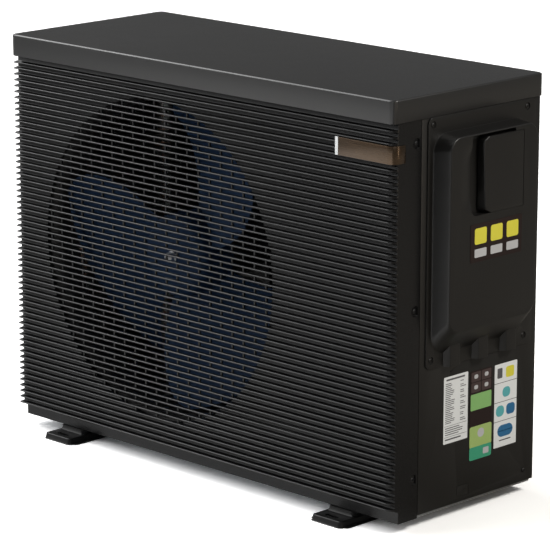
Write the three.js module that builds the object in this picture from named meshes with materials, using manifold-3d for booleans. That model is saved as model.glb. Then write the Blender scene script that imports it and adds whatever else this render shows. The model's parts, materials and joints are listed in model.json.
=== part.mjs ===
// Pool heat pump unit: a sheet-metal cabinet with a ribbed front grille, an axial fan blowing
// through it, a finned coil round the back and left, and a compressor compartment on the right
// that holds the refrigerant circuit, the water heat exchanger and the electronics.
//
// Millimetres. x runs to the right, y towards the back and z up. While the pieces are made,
// x = 0 is the middle of the lid, y = 0 is the lid's front face and z = 0 is the floor. The last
// lines move the whole unit so that its origin is on the floor under the middle of its box.

import * as THREE from "three";
import { ConvexGeometry } from "three/addons/geometries/ConvexGeometry.js";
import { mergeVertices } from "three/addons/utils/BufferGeometryUtils.js";
import Module from "manifold-3d";

const wasm = await Module();
wasm.setup();

// ---------------------------------------------------------------- driving dimensions

const LID_WIDTH = 960;
const LID_DEPTH = 382;
const HEIGHT = 753;
const LID_SKIRT = 40;
const LID_CORNER = 12;
const LID_INNER_CORNER = 5;
const SHEET = 1.5; // thickness of the painted sheet metal
const GAP = 0.3; // clearance between pieces that rest on each other

const HALF_LID = LID_WIDTH / 2;
const SIDE_X = 477.4; // outer face of the right and left walls
const REAR_Y = 377; // outer face of the rear wall
const PANEL_TOP = 745; // the walls run up inside the lid to here
const SIDE_BOTTOM = 25;
const FRONT_BOTTOM = 20;

const RIB_COUNT = 60;
const RIB_PITCH = 11.07;
const RIB_FIRST_DROP = 53.2; // first rib, measured down from the lid's top
const RIB_NOSE_Y = 4.5;
const RIB_FLOOR_Y = 15.3;
const RIB_HALF_NOSE = 1.5;
const RIB_SLOPE = 0.22; // fall of a rib's underside per millimetre of depth
const RIB_TOP_RISE = 0.65; // a rib's top rises this much from its nose to the channel floor
const STRIP_Y = 23; // plain strip along the bottom of the front panel
const MOULDED_WALL = 2.5;
const FRONT_CORNER = 15; // vertical round at the front right corner
const FLANGE_REAR_Y = 71.5;

const FAN_X = -108.4;
const FAN_Z = HEIGHT - 370.1;
const GRILLE_RADIUS = 294.2;
const BLADE_BACK_Y = 10; // ribs crossing the fan opening are thin blades that end here
const FAN_RADIUS = 278;
const HUB = { radius: 77, front: 56, back: 135 };
const BLADE_ROOT = HUB.radius - 4; // the blades start a little inside the hub
const BLADE_MIDDLE_Y = 106;
const BLADE_RISE = { root: 54, tip: 130 }; // depth from a blade's front edge to its back edge
const BLADE_THICKNESS = { root: 3.2, tip: 2 };
const BLADE_SPREAD = 1.45; // angles in radians, from +x towards +z
const BLADE_SWEEP = 0.36;
const BLADE_BOW = 2.5;
const FIRST_BLADE = 1;
const SHAFT = { radius: 6, front: 42 };
const MOTOR_FRONT_Y = 150;
const MOTOR_BACK_Y = 215;

const COVER_RAISE = 38; // the service cover's face stands this far out of the side wall
const COVER_WALL = 2.6;
const COVER_X = SIDE_X + GAP; // back of the cover's flange
const FACE_X = SIDE_X + COVER_RAISE;
const DOOR_AXIS_X = FACE_X - 4;
const DOOR_AXIS_Y = 286;
const KEY_TRAVEL = 0.8;

const PARTITION_X = 213;
const UNION_X = 345;
const UNION_HEIGHTS = { inlet: 130, outlet: 430 };
const COMPRESSOR = { x: 330, y: 130, radius: 59, lugRadius: 80 };
const EXCHANGER = { x: UNION_X, y: 290, radius: 62, bottom: 60, top: 500, wall: 5, helixRadius: 42 };

const FOOT_CENTRE_X = 347.5;
const FOOT_HALF_WIDTH = 36;
const FOOT_OVERHANG = 21; // the feet stand out this far ahead of the lid and behind it
const FOOT_TOP = FRONT_BOTTOM - GAP;
const FOOT_PAD = 11.5; // height of the bolting pad at each end of a foot

const down = (distance) => HEIGHT - distance; // a height given as a drop from the lid's top

// ---------------------------------------------------------------- materials

const paint = (color, roughness = 0.55, metalness = 0.1) => ({ color, roughness, metalness });
const LOOK = {
  lid: paint(0x3f4040, 0.5),
  frontPanel: paint(0x2a2a2b, 0.45),
  sideWall: paint(0x262522, 0.6),
  cover: paint(0x2b2a28, 0.5, 0),
  galvanised: paint(0x9aa0a3, 0.4, 0.9),
  aluminium: paint(0xb9bdc0, 0.35, 1),
  copper: paint(0xb4693c, 0.3, 1),
  brass: paint(0xb59a4c, 0.3, 1),
  titanium: paint(0x8d8f92, 0.35, 1),
  blackSteel: paint(0x1b1b1c, 0.45, 0.3),
  navyPlastic: paint(0x1c2733, 0.5, 0),
  greyPlastic: paint(0x6b6f72, 0.5, 0),
  darkPlastic: paint(0x1a1b1c, 0.5, 0),
  whitePlastic: paint(0xdcdcd8, 0.5, 0),
  rubber: paint(0x151515, 0.9, 0),
  bronze: paint(0x5b4a42, 0.35, 0.6),
  label: paint(0xd9dcdd, 0.6, 0),
  brownLabel: paint(0x3a2b28, 0.6, 0),
  screen: paint(0x0b1418, 0.15, 0),
  board: paint(0x1f5a38, 0.6, 0),
};

// ---------------------------------------------------------------- solids

// A closed three.js geometry as a solid with its faces pointing out.
function solid(geometry) {
  const bare = geometry.clone();
  for (const name of Object.keys(bare.attributes)) {
    if (name !== "position") bare.deleteAttribute(name);
  }
  const merged = mergeVertices(bare, 1e-3);
  const triVerts = new Uint32Array(merged.index.array);
  const vertProperties = new Float32Array(merged.attributes.position.array);
  const made = new wasm.Manifold(new wasm.Mesh({ numProp: 3, vertProperties, triVerts }));
  if (made.volume() > 0) return made;
  for (let i = 0; i < triVerts.length; i += 3) {
    const first = triVerts[i];
    triVerts[i] = triVerts[i + 1];
    triVerts[i + 1] = first;
  }
  return new wasm.Manifold(new wasm.Mesh({ numProp: 3, vertProperties, triVerts }));
}

function geometryOf(body) {
  const mesh = body.getMesh();
  const geometry = new THREE.BufferGeometry();
  const positions = new Float32Array(mesh.vertProperties);
  geometry.setAttribute("position", new THREE.BufferAttribute(positions, 3));
  geometry.setIndex(new THREE.BufferAttribute(new Uint32Array(mesh.triVerts), 1));
  const flat = geometry.toNonIndexed();
  flat.computeVertexNormals();
  return flat;
}

const union = (...bodies) => bodies.reduce((sum, body) => sum.add(body));
const cut = (body, ...tools) => tools.reduce((rest, tool) => rest.subtract(tool), body);

function box(x0, x1, y0, y1, z0, z1) {
  const geometry = new THREE.BoxGeometry(x1 - x0, y1 - y0, z1 - z0);
  geometry.translate((x0 + x1) / 2, (y0 + y1) / 2, (z0 + z1) / 2);
  return solid(geometry);
}

// An outline from corners [u, v] or [u, v, radius]; a radius rounds that corner.
function outline(corners) {
  const shape = new THREE.Shape();
  corners.forEach(([u, v, radius = 0], i) => {
    const corner = new THREE.Vector2(u, v);
    const before = new THREE.Vector2(...corners.at(i - 1).slice(0, 2));
    const after = new THREE.Vector2(...corners[(i + 1) % corners.length].slice(0, 2));
    const start = corner.clone().add(before.sub(corner).setLength(radius));
    const end = corner.clone().add(after.sub(corner).setLength(radius));
    if (i === 0) shape.moveTo(start.x, start.y);
    else shape.lineTo(start.x, start.y);
    if (radius > 0) shape.quadraticCurveTo(u, v, end.x, end.y);
  });
  shape.closePath();
  return shape;
}

function rectangle(u0, u1, v0, v1, radius = 0) {
  return outline([[u0, v0, radius], [u1, v0, radius], [u1, v1, radius], [u0, v1, radius]]);
}

function extruded(shape, depth, curveSegments) {
  return new THREE.ExtrudeGeometry(shape, { depth, bevelEnabled: false, curveSegments });
}

// Prisms along each axis. The outline is drawn in (x, y), (y, z) or (x, z).
function prismZ(shape, z0, z1, curveSegments = 3) {
  return solid(extruded(shape, z1 - z0, curveSegments).translate(0, 0, z0));
}

function prismX(shape, x0, x1, curveSegments = 3) {
  const turn = new THREE.Matrix4().makeBasis(
    new THREE.Vector3(0, 1, 0),
    new THREE.Vector3(0, 0, 1),
    new THREE.Vector3(1, 0, 0),
  );
  return solid(extruded(shape, x1 - x0, curveSegments).applyMatrix4(turn).translate(x0, 0, 0));
}

function prismY(shape, y0, y1, curveSegments = 3) {
  const turn = new THREE.Matrix4().makeBasis(
    new THREE.Vector3(1, 0, 0),
    new THREE.Vector3(0, 0, 1),
    new THREE.Vector3(0, -1, 0),
  );
  return solid(extruded(shape, y1 - y0, curveSegments).applyMatrix4(turn).translate(0, y1, 0));
}

// A body turned about an axis through a point. The profile is [radius, position along the axis].
function turned(axis, centre, profile, segments = 16) {
  const closed = profile.map(([radius, along]) => new THREE.Vector2(radius, along));
  if (profile[0][0] > 0) closed.push(closed[0].clone());
  const geometry = new THREE.LatheGeometry(closed, segments);
  if (axis === "x") geometry.rotateZ(-Math.PI / 2);
  if (axis === "z") geometry.rotateX(Math.PI / 2);
  return solid(geometry.translate(...centre));
}

function rod(axis, centre, radius, from, to, segments = 16) {
  return turned(axis, centre, [[0, from], [radius, from], [radius, to], [0, to]], segments);
}

// A round bar or filled pipe that follows straight legs joined by bends.
function pipe(points, radius, { bend = 22, step = 24, sides = 6 } = {}) {
  const at = points.map((p) => new THREE.Vector3(...p));
  const path = new THREE.CurvePath();
  let from = at[0];
  for (let i = 1; i < at.length - 1; i++) {
    const back = at[i - 1].clone().sub(at[i]);
    const ahead = at[i + 1].clone().sub(at[i]);
    const reach = Math.min(bend, back.length() * 0.45, ahead.length() * 0.45);
    const start = at[i].clone().add(back.setLength(reach));
    const end = at[i].clone().add(ahead.setLength(reach));
    path.add(new THREE.LineCurve3(from, start));
    path.add(new THREE.QuadraticBezierCurve3(start, at[i], end));
    from = end;
  }
  path.add(new THREE.LineCurve3(from, at.at(-1)));
  return swept(path, radius, step, sides);
}

function swept(path, radius, step, sides) {
  const section = new THREE.Shape();
  for (let i = 0; i < sides; i++) {
    const angle = (i / sides) * 2 * Math.PI;
    const point = [radius * Math.cos(angle), radius * Math.sin(angle)];
    if (i === 0) section.moveTo(...point);
    else section.lineTo(...point);
  }
  section.closePath();
  const steps = Math.max(4, Math.round(path.getLength() / step));
  return solid(new THREE.ExtrudeGeometry(section, { steps, extrudePath: path, curveSegments: 1 }));
}

// The convex body between flat outlines, each drawn in (y, z) and placed at its own x.
function hullX(layers, curveSegments = 3) {
  const points = layers.flatMap(([shape, x]) =>
    shape.getPoints(curveSegments).map((p) => new THREE.Vector3(x, p.x, p.y)),
  );
  return solid(new ConvexGeometry(points));
}

// ---------------------------------------------------------------- the assembly

const unit = new THREE.Group();

function add(name, body, look) {
  const mesh = new THREE.Mesh(geometryOf(body), new THREE.MeshStandardMaterial(look));
  mesh.name = name;
  unit.add(mesh);
}

// ---------------------------------------------------------------- casing

function topCover() {
  const outer = rectangle(-HALF_LID, HALF_LID, 0, LID_DEPTH, LID_CORNER);
  const inner = rectangle(-HALF_LID + SHEET, HALF_LID - SHEET, SHEET, LID_DEPTH - SHEET, LID_INNER_CORNER);
  const bottom = down(LID_SKIRT);
  return cut(prismZ(outer, bottom, HEIGHT), prismZ(inner, bottom - 1, HEIGHT - SHEET));
}

const ribHeight = (i) => down(RIB_FIRST_DROP + i * RIB_PITCH);
const LAST_RIB = ribHeight(RIB_COUNT - 1);
const undersideAt = (ribZ, y) => ribZ - RIB_HALF_NOSE - (y - RIB_NOSE_Y) * RIB_SLOPE;

// Section of the front panel in (y, z): plain strip, ribs, then the back of the wall.
function frontSection() {
  const points = [[STRIP_Y, FRONT_BOTTOM], [STRIP_Y, undersideAt(LAST_RIB, STRIP_Y)]];
  for (let i = RIB_COUNT - 1; i >= 0; i--) {
    const z = ribHeight(i);
    if (i < RIB_COUNT - 1) points.push([RIB_FLOOR_Y, undersideAt(z, RIB_FLOOR_Y)]);
    points.push([RIB_NOSE_Y, z - RIB_HALF_NOSE], [RIB_NOSE_Y, z + RIB_HALF_NOSE]);
    points.push([RIB_FLOOR_Y, z + RIB_HALF_NOSE + RIB_TOP_RISE]);
  }
  const wallBack = RIB_FLOOR_Y + MOULDED_WALL;
  const stripBack = STRIP_Y + MOULDED_WALL;
  const stepThickness = 2.8;
  points.push([RIB_FLOOR_Y, PANEL_TOP], [wallBack, PANEL_TOP]);
  points.push([wallBack, undersideAt(LAST_RIB, wallBack) + stepThickness]);
  points.push([stripBack, undersideAt(LAST_RIB, stripBack) + stepThickness]);
  points.push([stripBack, FRONT_BOTTOM]);
  return outline(points);
}

const FRONT_SCREW_Y = 60;
const FRONT_SCREW_DROPS = [79.7, 366.7, 662.4];
const RECESS = { depth: 2.2, radius: 9.5, flat: 6.5, bossRadius: 11.2, bossBack: 6.4 };
const SCREW_HOLE = 2.6; // radius of the holes that the casing screws go through

// D-shaped recess for a screw in the front panel's side flange, drawn in (y, z).
function dRecess(z) {
  const shape = new THREE.Shape();
  const { radius, flat } = RECESS;
  const angle = Math.acos(flat / radius);
  shape.moveTo(FRONT_SCREW_Y + flat, z + radius * Math.sin(angle));
  shape.absarc(FRONT_SCREW_Y, z, radius, angle, 2 * Math.PI - angle, false);
  shape.closePath();
  return shape;
}

// Plan of everything the front panel may fill, with its front right corner rounded.
function cornerRegion() {
  const shape = new THREE.Shape();
  const centreX = SIDE_X - FRONT_CORNER;
  shape.moveTo(-HALF_LID, FLANGE_REAR_Y);
  shape.lineTo(-HALF_LID, RIB_NOSE_Y);
  shape.lineTo(centreX, RIB_NOSE_Y);
  shape.absarc(centreX, RIB_NOSE_Y + FRONT_CORNER, FRONT_CORNER, -Math.PI / 2, 0, false);
  shape.lineTo(SIDE_X, FLANGE_REAR_Y);
  shape.closePath();
  return shape;
}

function frontPanel() {
  const flangeFront = RIB_FLOOR_Y + MOULDED_WALL / 2;
  const flangeSection = outline([
    [flangeFront, PANEL_TOP],
    [flangeFront, undersideAt(LAST_RIB, flangeFront)],
    [STRIP_Y, undersideAt(LAST_RIB, STRIP_Y)],
    [STRIP_Y, FRONT_BOTTOM],
    [FLANGE_REAR_Y, FRONT_BOTTOM],
    [FLANGE_REAR_Y, PANEL_TOP],
  ]);
  let body = union(
    prismX(frontSection(), -SIDE_X - 0.6, SIDE_X),
    prismX(flangeSection, SIDE_X - MOULDED_WALL, SIDE_X),
    prismX(flangeSection, -SIDE_X, -SIDE_X + MOULDED_WALL),
  );
  for (const drop of FRONT_SCREW_DROPS) {
    const centre = [0, FRONT_SCREW_Y, down(drop)];
    body = body.add(rod("x", centre, RECESS.bossRadius, SIDE_X - RECESS.bossBack, SIDE_X - 2, 12));
    body = body.subtract(prismX(dRecess(down(drop)), SIDE_X - RECESS.depth, SIDE_X + 1, 8));
    body = body.subtract(rod("x", centre, SCREW_HOLE, SIDE_X - 8, SIDE_X, 8));
  }
  const corner = prismZ(cornerRegion(), FRONT_BOTTOM - 1, PANEL_TOP + 1, 3);
  const opening = rod("y", [FAN_X, 0, FAN_Z], GRILLE_RADIUS, BLADE_BACK_Y, STRIP_Y, 48);
  return cut(body.intersect(corner), opening);
}

const COVER_SCREWS = [[97.4, 53.3], [338.4, 53.3], [97.4, 458.9], [338.4, 458.9]];
const SIDE_SCREW = [350.4, 708.5];
const SIDE_FRONT_Y = FLANGE_REAR_Y + 0.7; // the side walls start behind the front panel's flanges
const REAR_RETURN_X = 462; // the right wall is folded round the rear corner to here
const COVER_WINDOW = { y0: 112, y1: 324, top: 84, bottom: 430, corner: 10 };

function rightSidePanel() {
  const front = SIDE_FRONT_Y;
  const back = REAR_Y - SHEET;
  const inner = SIDE_X - SHEET;
  const plan = outline([
    [SIDE_X, front], [SIDE_X, REAR_Y], [REAR_RETURN_X, REAR_Y],
    [REAR_RETURN_X, back], [inner, back], [inner, front],
  ]);
  const wall = prismZ(plan, SIDE_BOTTOM, PANEL_TOP);
  const { y0, y1, top, bottom, corner } = COVER_WINDOW;
  const window = prismX(rectangle(y0, y1, down(bottom), down(top), corner), SIDE_X - 5, SIDE_X + 5);
  const holes = [...COVER_SCREWS, SIDE_SCREW].map(([y, drop]) =>
    rod("x", [0, y, down(drop)], SCREW_HOLE, SIDE_X - 5, SIDE_X + 5, 8),
  );
  return cut(wall, window, ...holes);
}

// The openings of a grating as [u0, u1, v0, v1], laid out in a grid inside a margin.
function grid([u0, u1, v0, v1], margin, columns, rows, bar) {
  const width = (u1 - u0 - 2 * margin - bar * (columns - 1)) / columns;
  const height = (v1 - v0 - 2 * margin - bar * (rows - 1)) / rows;
  const openings = [];
  for (let column = 0; column < columns; column++) {
    for (let row = 0; row < rows; row++) {
      const u = u0 + margin + column * (width + bar);
      const v = v0 + margin + row * (height + bar);
      openings.push([u, u + width, v, v + height]);
    }
  }
  return openings;
}

function leftSidePanel() {
  const area = [SIDE_FRONT_Y, REAR_Y - 2, SIDE_BOTTOM, PANEL_TOP];
  const openings = grid(area, 34, 2, 12, 14).map((opening) => box(-SIDE_X - 1, -SIDE_X + 5, ...opening));
  return cut(box(-SIDE_X, -SIDE_X + SHEET, ...area), ...openings);
}

const REAR_SPLIT_X = 226.5; // the coil guard ends and the closed rear panel starts here

function rearCoilGuard() {
  const area = [-SIDE_X, REAR_SPLIT_X, SIDE_BOTTOM, PANEL_TOP];
  const openings = grid(area, 26, 3, 8, 10).map(([x0, x1, z0, z1]) =>
    box(x0, x1, REAR_Y - 5, REAR_Y + 1, z0, z1),
  );
  const [x0, x1, z0, z1] = area;
  return cut(box(x0, x1, REAR_Y - SHEET, REAR_Y, z0, z1), ...openings);
}

function rearPanel() {
  const unionHole = 27;
  const shape = rectangle(REAR_SPLIT_X + 0.5, REAR_RETURN_X - 0.5, SIDE_BOTTOM, PANEL_TOP);
  const wall = prismY(shape, REAR_Y - SHEET, REAR_Y);
  const holes = Object.values(UNION_HEIGHTS).map((z) =>
    rod("y", [UNION_X, 0, z], unionHole, REAR_Y - 5, REAR_Y + 5, 18),
  );
  return cut(wall, ...holes);
}

const TRAY = { halfWidth: 474, y0: 26.3, y1: 373.5, top: 44, wall: 2, drain: [-100, 200, 0] };

function basePan() {
  const { halfWidth, y0, y1, top, wall } = TRAY;
  const floor = FRONT_BOTTOM + wall;
  const tray = box(-halfWidth, halfWidth, y0, y1, FRONT_BOTTOM, top);
  const hollow = box(-halfWidth + wall, halfWidth - wall, y0 + wall, y1 - wall, floor, top + 5);
  const drain = rod("z", TRAY.drain, 10, FRONT_BOTTOM - 5, floor + 5, 12);
  return cut(tray, hollow, drain);
}

// A pressed channel that runs front to back under the base, with a bolting pad at each end.
function foot(centreX) {
  const rear = LID_DEPTH;
  const side = (inset, top, pad) => [
    [-FOOT_OVERHANG + inset, 0],
    [-FOOT_OVERHANG + 1.5 + inset, pad, inset ? 0 : 3],
    [14 + inset, pad, 5],
    [24 + inset, top, 4],
    [rear - 24 - inset, top, 4],
    [rear - 14 - inset, pad, 5],
    [rear + FOOT_OVERHANG - 1.5 - inset, pad, inset ? 0 : 3],
    [rear + FOOT_OVERHANG - inset, 0],
  ];
  const wall = 3;
  const left = centreX - FOOT_HALF_WIDTH;
  const right = centreX + FOOT_HALF_WIDTH;
  const hollowSide = side(wall, FOOT_TOP - wall, FOOT_PAD - wall);
  hollowSide[0][1] = -1;
  hollowSide.at(-1)[1] = -1;
  const slots = [-3, rear + 3].map((y) =>
    prismZ(rectangle(centreX - 15, centreX + 15, y - 4.5, y + 4.5, 4), 2, 15, 2),
  );
  const lips = prismZ(rectangle(left - 8, right + 8, -12, rear + 12, 5), 0, SHEET, 2);
  const channel = union(prismX(outline(side(0, FOOT_TOP, FOOT_PAD)), left, right), lips);
  return cut(channel, prismX(outline(hollowSide), left + wall, right - wall), ...slots);
}

// ---------------------------------------------------------------- service cover and controller

const COVER_BASE = { y0: 97, y1: 337, top: 70, bottom: 451, corner: 46 };
const COVER_FACE = { y0: 104, y1: 326, top: 73, bottom: 408, corner: 32 };
const COVER_FLANGE = { y0: 85.5, y1: 361, top: 40.4, bottom: 475, corner: 12, thickness: 3 };
const TUNNEL_CENTRES = [148, 221, 294];
const TUNNEL = { raise: 14, halfBase: 19, halfCrest: 12 };
const COVER_SINK = 1.5; // depth of the round seats for the cover's screws
const POCKET = { y0: 157, y1: 290.5, slotTop: 75.5, top: 81.2, bottom: 213.8, slotEnd: 268, depth: 17 };

function coverOutline({ y0, y1, top, bottom, corner }, inset) {
  return rectangle(y0 + inset, y1 - inset, down(bottom - inset), down(top + inset), corner);
}

// A cable tunnel over the cover's bottom edge: a tapered channel standing out of the flange.
function tunnel(centreY, wall, bottom, top) {
  const foot = COVER_X - (wall ? 1 : 0);
  const crest = SIDE_X + TUNNEL.raise - wall;
  const halfBase = TUNNEL.halfBase - wall;
  const halfCrest = TUNNEL.halfCrest - wall * 0.8;
  const shape = outline([
    [foot, centreY - halfBase],
    [foot, centreY + halfBase],
    [crest, centreY + halfCrest],
    [crest, centreY - halfCrest],
  ]);
  return prismZ(shape, down(bottom), down(top));
}

function serviceCover() {
  const { y0, y1, top, bottom, corner } = COVER_FLANGE;
  const flangeX = COVER_X + COVER_FLANGE.thickness;
  const flange = prismX(rectangle(y0, y1, down(bottom), down(top), corner), COVER_X, flangeX);
  const raised = hullX([[coverOutline(COVER_BASE, 0), COVER_X], [coverOutline(COVER_FACE, 0), FACE_X]]);
  const hollow = hullX([
    [coverOutline(COVER_BASE, COVER_WALL), COVER_X - 1],
    [coverOutline(COVER_FACE, COVER_WALL), FACE_X - COVER_WALL],
  ]);
  const floorX = FACE_X - POCKET.depth;
  const block = box(
    floorX - COVER_WALL, FACE_X,
    POCKET.y0 - COVER_WALL, POCKET.y1 + COVER_WALL,
    down(POCKET.bottom + COVER_WALL + 4), down(73.2),
  );
  const pocket = prismX(outline([
    [POCKET.y0, down(POCKET.bottom), 12],
    [POCKET.y1, down(POCKET.bottom)],
    [POCKET.y1, down(POCKET.top)],
    [POCKET.slotEnd, down(POCKET.top)],
    [POCKET.slotEnd, down(POCKET.slotTop)],
    [POCKET.y0, down(POCKET.slotTop), 3],
  ]), floorX, FACE_X + 5);
  const pinHole = rod("z", [DOOR_AXIS_X, DOOR_AXIS_Y, 0], 2, down(218.2), down(77.2), 12);
  const cableHole = box(floorX - 5, floorX + 1, 226, 246, down(140), down(120));
  let body = union(flange, raised, ...TUNNEL_CENTRES.map((y) => tunnel(y, 0, bottom, 430)));
  body = cut(body, hollow, ...TUNNEL_CENTRES.map((y) => tunnel(y, COVER_WALL, bottom + 2, 436)));
  body = cut(body.add(block.intersect(raised)), pocket, pinHole, cableHole);
  for (const [y, drop] of COVER_SCREWS) {
    const centre = [0, y, down(drop)];
    body = body.subtract(rod("x", centre, 6.5, flangeX - COVER_SINK, flangeX + 2, 12));
    body = body.subtract(rod("x", centre, SCREW_HOLE, COVER_X - 1, flangeX, 8));
  }
  return body;
}

const DOOR_FRONT_Y = 186;
const DOOR_TAIL_Y = 279; // the door is thinner behind here, where it turns about its hinge

// Weather door over the controller: a shallow tray on its side, with a round hinge edge and pins.
function controllerDoor() {
  const edge = FACE_X - DOOR_AXIS_X;
  const backX = FACE_X - POCKET.depth + 2;
  const bottom = down(POCKET.bottom - 0.5);
  const top = down(POCKET.top + 0.6);
  const plan = new THREE.Shape();
  plan.moveTo(backX, DOOR_FRONT_Y);
  plan.lineTo(FACE_X - 1.5, DOOR_FRONT_Y);
  plan.lineTo(FACE_X, DOOR_FRONT_Y + 1.5);
  plan.lineTo(FACE_X, DOOR_AXIS_Y);
  plan.absarc(DOOR_AXIS_X, DOOR_AXIS_Y, edge, 0, Math.PI, false);
  plan.lineTo(DOOR_AXIS_X - edge, DOOR_TAIL_Y);
  plan.lineTo(backX, DOOR_TAIL_Y);
  plan.closePath();
  const tray = prismZ(plan, bottom, top, 6);
  const hollow = box(
    backX - 1, FACE_X - MOULDED_WALL,
    DOOR_FRONT_Y + MOULDED_WALL, DOOR_TAIL_Y + 1,
    bottom + MOULDED_WALL, top - MOULDED_WALL,
  );
  const pins = rod("z", [DOOR_AXIS_X, DOOR_AXIS_Y, 0], 1.6, down(217.5), down(77.9), 10);
  return union(cut(tray, hollow), pins);
}

const CONTROLLER = { y0: 196, y1: 276, top: 95, bottom: 203, x0: 498.7, x1: 506.4 };
const KEY_NAMES = ["key_power", "key_mode", "key_up", "key_down"];
const KEY_ROW_DROP = 188;
const KEY = { halfWidth: 6, halfHeight: 4, wellX: 501.2, faceX: 508.2, clearance: 0.4 };
const keyCentreY = (i) => 206 + 20 * i;

function controllerUnit() {
  const { y0, y1, top, bottom, x0, x1 } = CONTROLLER;
  const body = prismX(rectangle(y0, y1, down(bottom), down(top), 5), x0, x1);
  const wells = KEY_NAMES.map((_, i) => {
    const y = keyCentreY(i);
    const z = down(KEY_ROW_DROP);
    const halfWidth = KEY.halfWidth + KEY.clearance;
    const halfHeight = KEY.halfHeight + KEY.clearance;
    return box(KEY.wellX, x1 + 1, y - halfWidth, y + halfWidth, z - halfHeight, z + halfHeight);
  });
  return cut(body, ...wells);
}

function key(i) {
  const y = keyCentreY(i);
  const z = down(KEY_ROW_DROP);
  const { halfWidth, halfHeight, wellX, faceX } = KEY;
  const shape = rectangle(y - halfWidth, y + halfWidth, z - halfHeight, z + halfHeight, 1.5);
  return prismX(shape, wellX + KEY_TRAVEL + GAP, faceX, 2);
}

// ---------------------------------------------------------------- trim, labels and screws

const TRIM = { startX: 345, rearY: 31, top: 77.6, bottom: 108.4, thickness: 1.3 };

function trimStrip() {
  const centreX = SIDE_X - FRONT_CORNER;
  const centreY = RIB_NOSE_Y + FRONT_CORNER;
  const inner = FRONT_CORNER + GAP;
  const outer = inner + TRIM.thickness;
  const plan = new THREE.Shape();
  plan.moveTo(TRIM.startX, centreY - outer);
  plan.lineTo(centreX, centreY - outer);
  plan.absarc(centreX, centreY, outer, -Math.PI / 2, 0, false);
  plan.lineTo(centreX + outer, TRIM.rearY);
  plan.lineTo(centreX + inner, TRIM.rearY);
  plan.lineTo(centreX + inner, centreY);
  plan.absarc(centreX, centreY, inner, 0, -Math.PI / 2, true);
  plan.lineTo(TRIM.startX, centreY - inner);
  plan.closePath();
  return prismZ(plan, down(TRIM.bottom), down(TRIM.top), 3);
}

function sideLabel(x, y0, y1, top, bottom) {
  return box(x + GAP, x + GAP + 0.4, y0, y1, down(bottom), down(top));
}

// Pan-head screw pointing into the cabinet, its head's underside at x.
function sideScrew(x, y, drop, length = 10) {
  const profile = [[0, -length], [2, -length], [2, 0], [4.2, 0], [3.6, 1.2], [0, 1.5]];
  return turned("x", [x, y, down(drop)], profile, 8);
}

// ---------------------------------------------------------------- fan and coil

function fanShroud() {
  return turned("y", [FAN_X, 0, FAN_Z], [
    [308, 26.5], [308, 29], [294, 35], [288.5, 46], [288.5, 85],
    [286, 85], [286, 45], [292, 33], [300, 26.5],
  ], 24);
}

// One fan blade as a closed grid. It sweeps forward towards its tip, where it leans the most.
function fanBlade(angle) {
  const alongSteps = 4;
  const acrossSteps = 6;
  const points = [];
  for (const face of [-1, 1]) {
    for (let i = 0; i <= alongSteps; i++) {
      const along = i / alongSteps;
      const radius = BLADE_ROOT + (FAN_RADIUS - BLADE_ROOT) * along;
      const rise = BLADE_RISE.root + (BLADE_RISE.tip - BLADE_RISE.root) * along;
      const thickness = BLADE_THICKNESS.root + (BLADE_THICKNESS.tip - BLADE_THICKNESS.root) * along;
      for (let j = 0; j <= acrossSteps; j++) {
        const across = j / acrossSteps - 0.5;
        const theta = angle + BLADE_SWEEP * along * along + BLADE_SPREAD * across;
        const bow = BLADE_BOW * (1 - 4 * across * across);
        const y = BLADE_MIDDLE_Y + rise * across - bow + (face * thickness) / 2;
        points.push(radius * Math.cos(theta), y, radius * Math.sin(theta));
      }
    }
  }
  const row = acrossSteps + 1;
  const sheetSize = row * (alongSteps + 1);
  const at = (face, i, j) => face * sheetSize + i * row + j;
  const index = [];
  const quad = (a, b, c, d) => index.push(a, b, c, a, c, d);
  for (let i = 0; i < alongSteps; i++) {
    for (let j = 0; j < acrossSteps; j++) {
      quad(at(0, i, j), at(0, i + 1, j), at(0, i + 1, j + 1), at(0, i, j + 1));
      quad(at(1, i, j), at(1, i, j + 1), at(1, i + 1, j + 1), at(1, i + 1, j));
    }
    quad(at(0, i, 0), at(1, i, 0), at(1, i + 1, 0), at(0, i + 1, 0));
    quad(at(0, i, acrossSteps), at(0, i + 1, acrossSteps), at(1, i + 1, acrossSteps), at(1, i, acrossSteps));
  }
  for (let j = 0; j < acrossSteps; j++) {
    quad(at(0, 0, j), at(0, 0, j + 1), at(1, 0, j + 1), at(1, 0, j));
    quad(at(0, alongSteps, j), at(1, alongSteps, j), at(1, alongSteps, j + 1), at(0, alongSteps, j + 1));
  }
  const geometry = new THREE.BufferGeometry();
  geometry.setAttribute("position", new THREE.Float32BufferAttribute(points, 3));
  geometry.setIndex(index);
  return solid(geometry.translate(FAN_X, 0, FAN_Z));
}

function fanWheel() {
  const hub = rod("y", [FAN_X, 0, FAN_Z], HUB.radius, HUB.front, HUB.back, 24);
  const blades = [0, 1, 2].map((i) => fanBlade(FIRST_BLADE + (i * 2 * Math.PI) / 3));
  const bore = rod("y", [FAN_X, 0, FAN_Z], SHAFT.radius + GAP, HUB.front - 5, HUB.back + 5, 16);
  return cut(union(hub, ...blades), bore);
}

function fanShaft() {
  return rod("y", [FAN_X, 0, FAN_Z], SHAFT.radius, SHAFT.front, MOTOR_FRONT_Y + 28, 12);
}

// Hexagonal nut that holds the hub on the shaft.
function fanNut() {
  const front = SHAFT.front + 2;
  const back = HUB.front - 0.4;
  const blank = rod("y", [FAN_X, 0, FAN_Z], 11, front, back, 6);
  return cut(blank, rod("y", [FAN_X, 0, FAN_Z], SHAFT.radius + GAP, front - 5, back + 5, 12));
}

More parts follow.
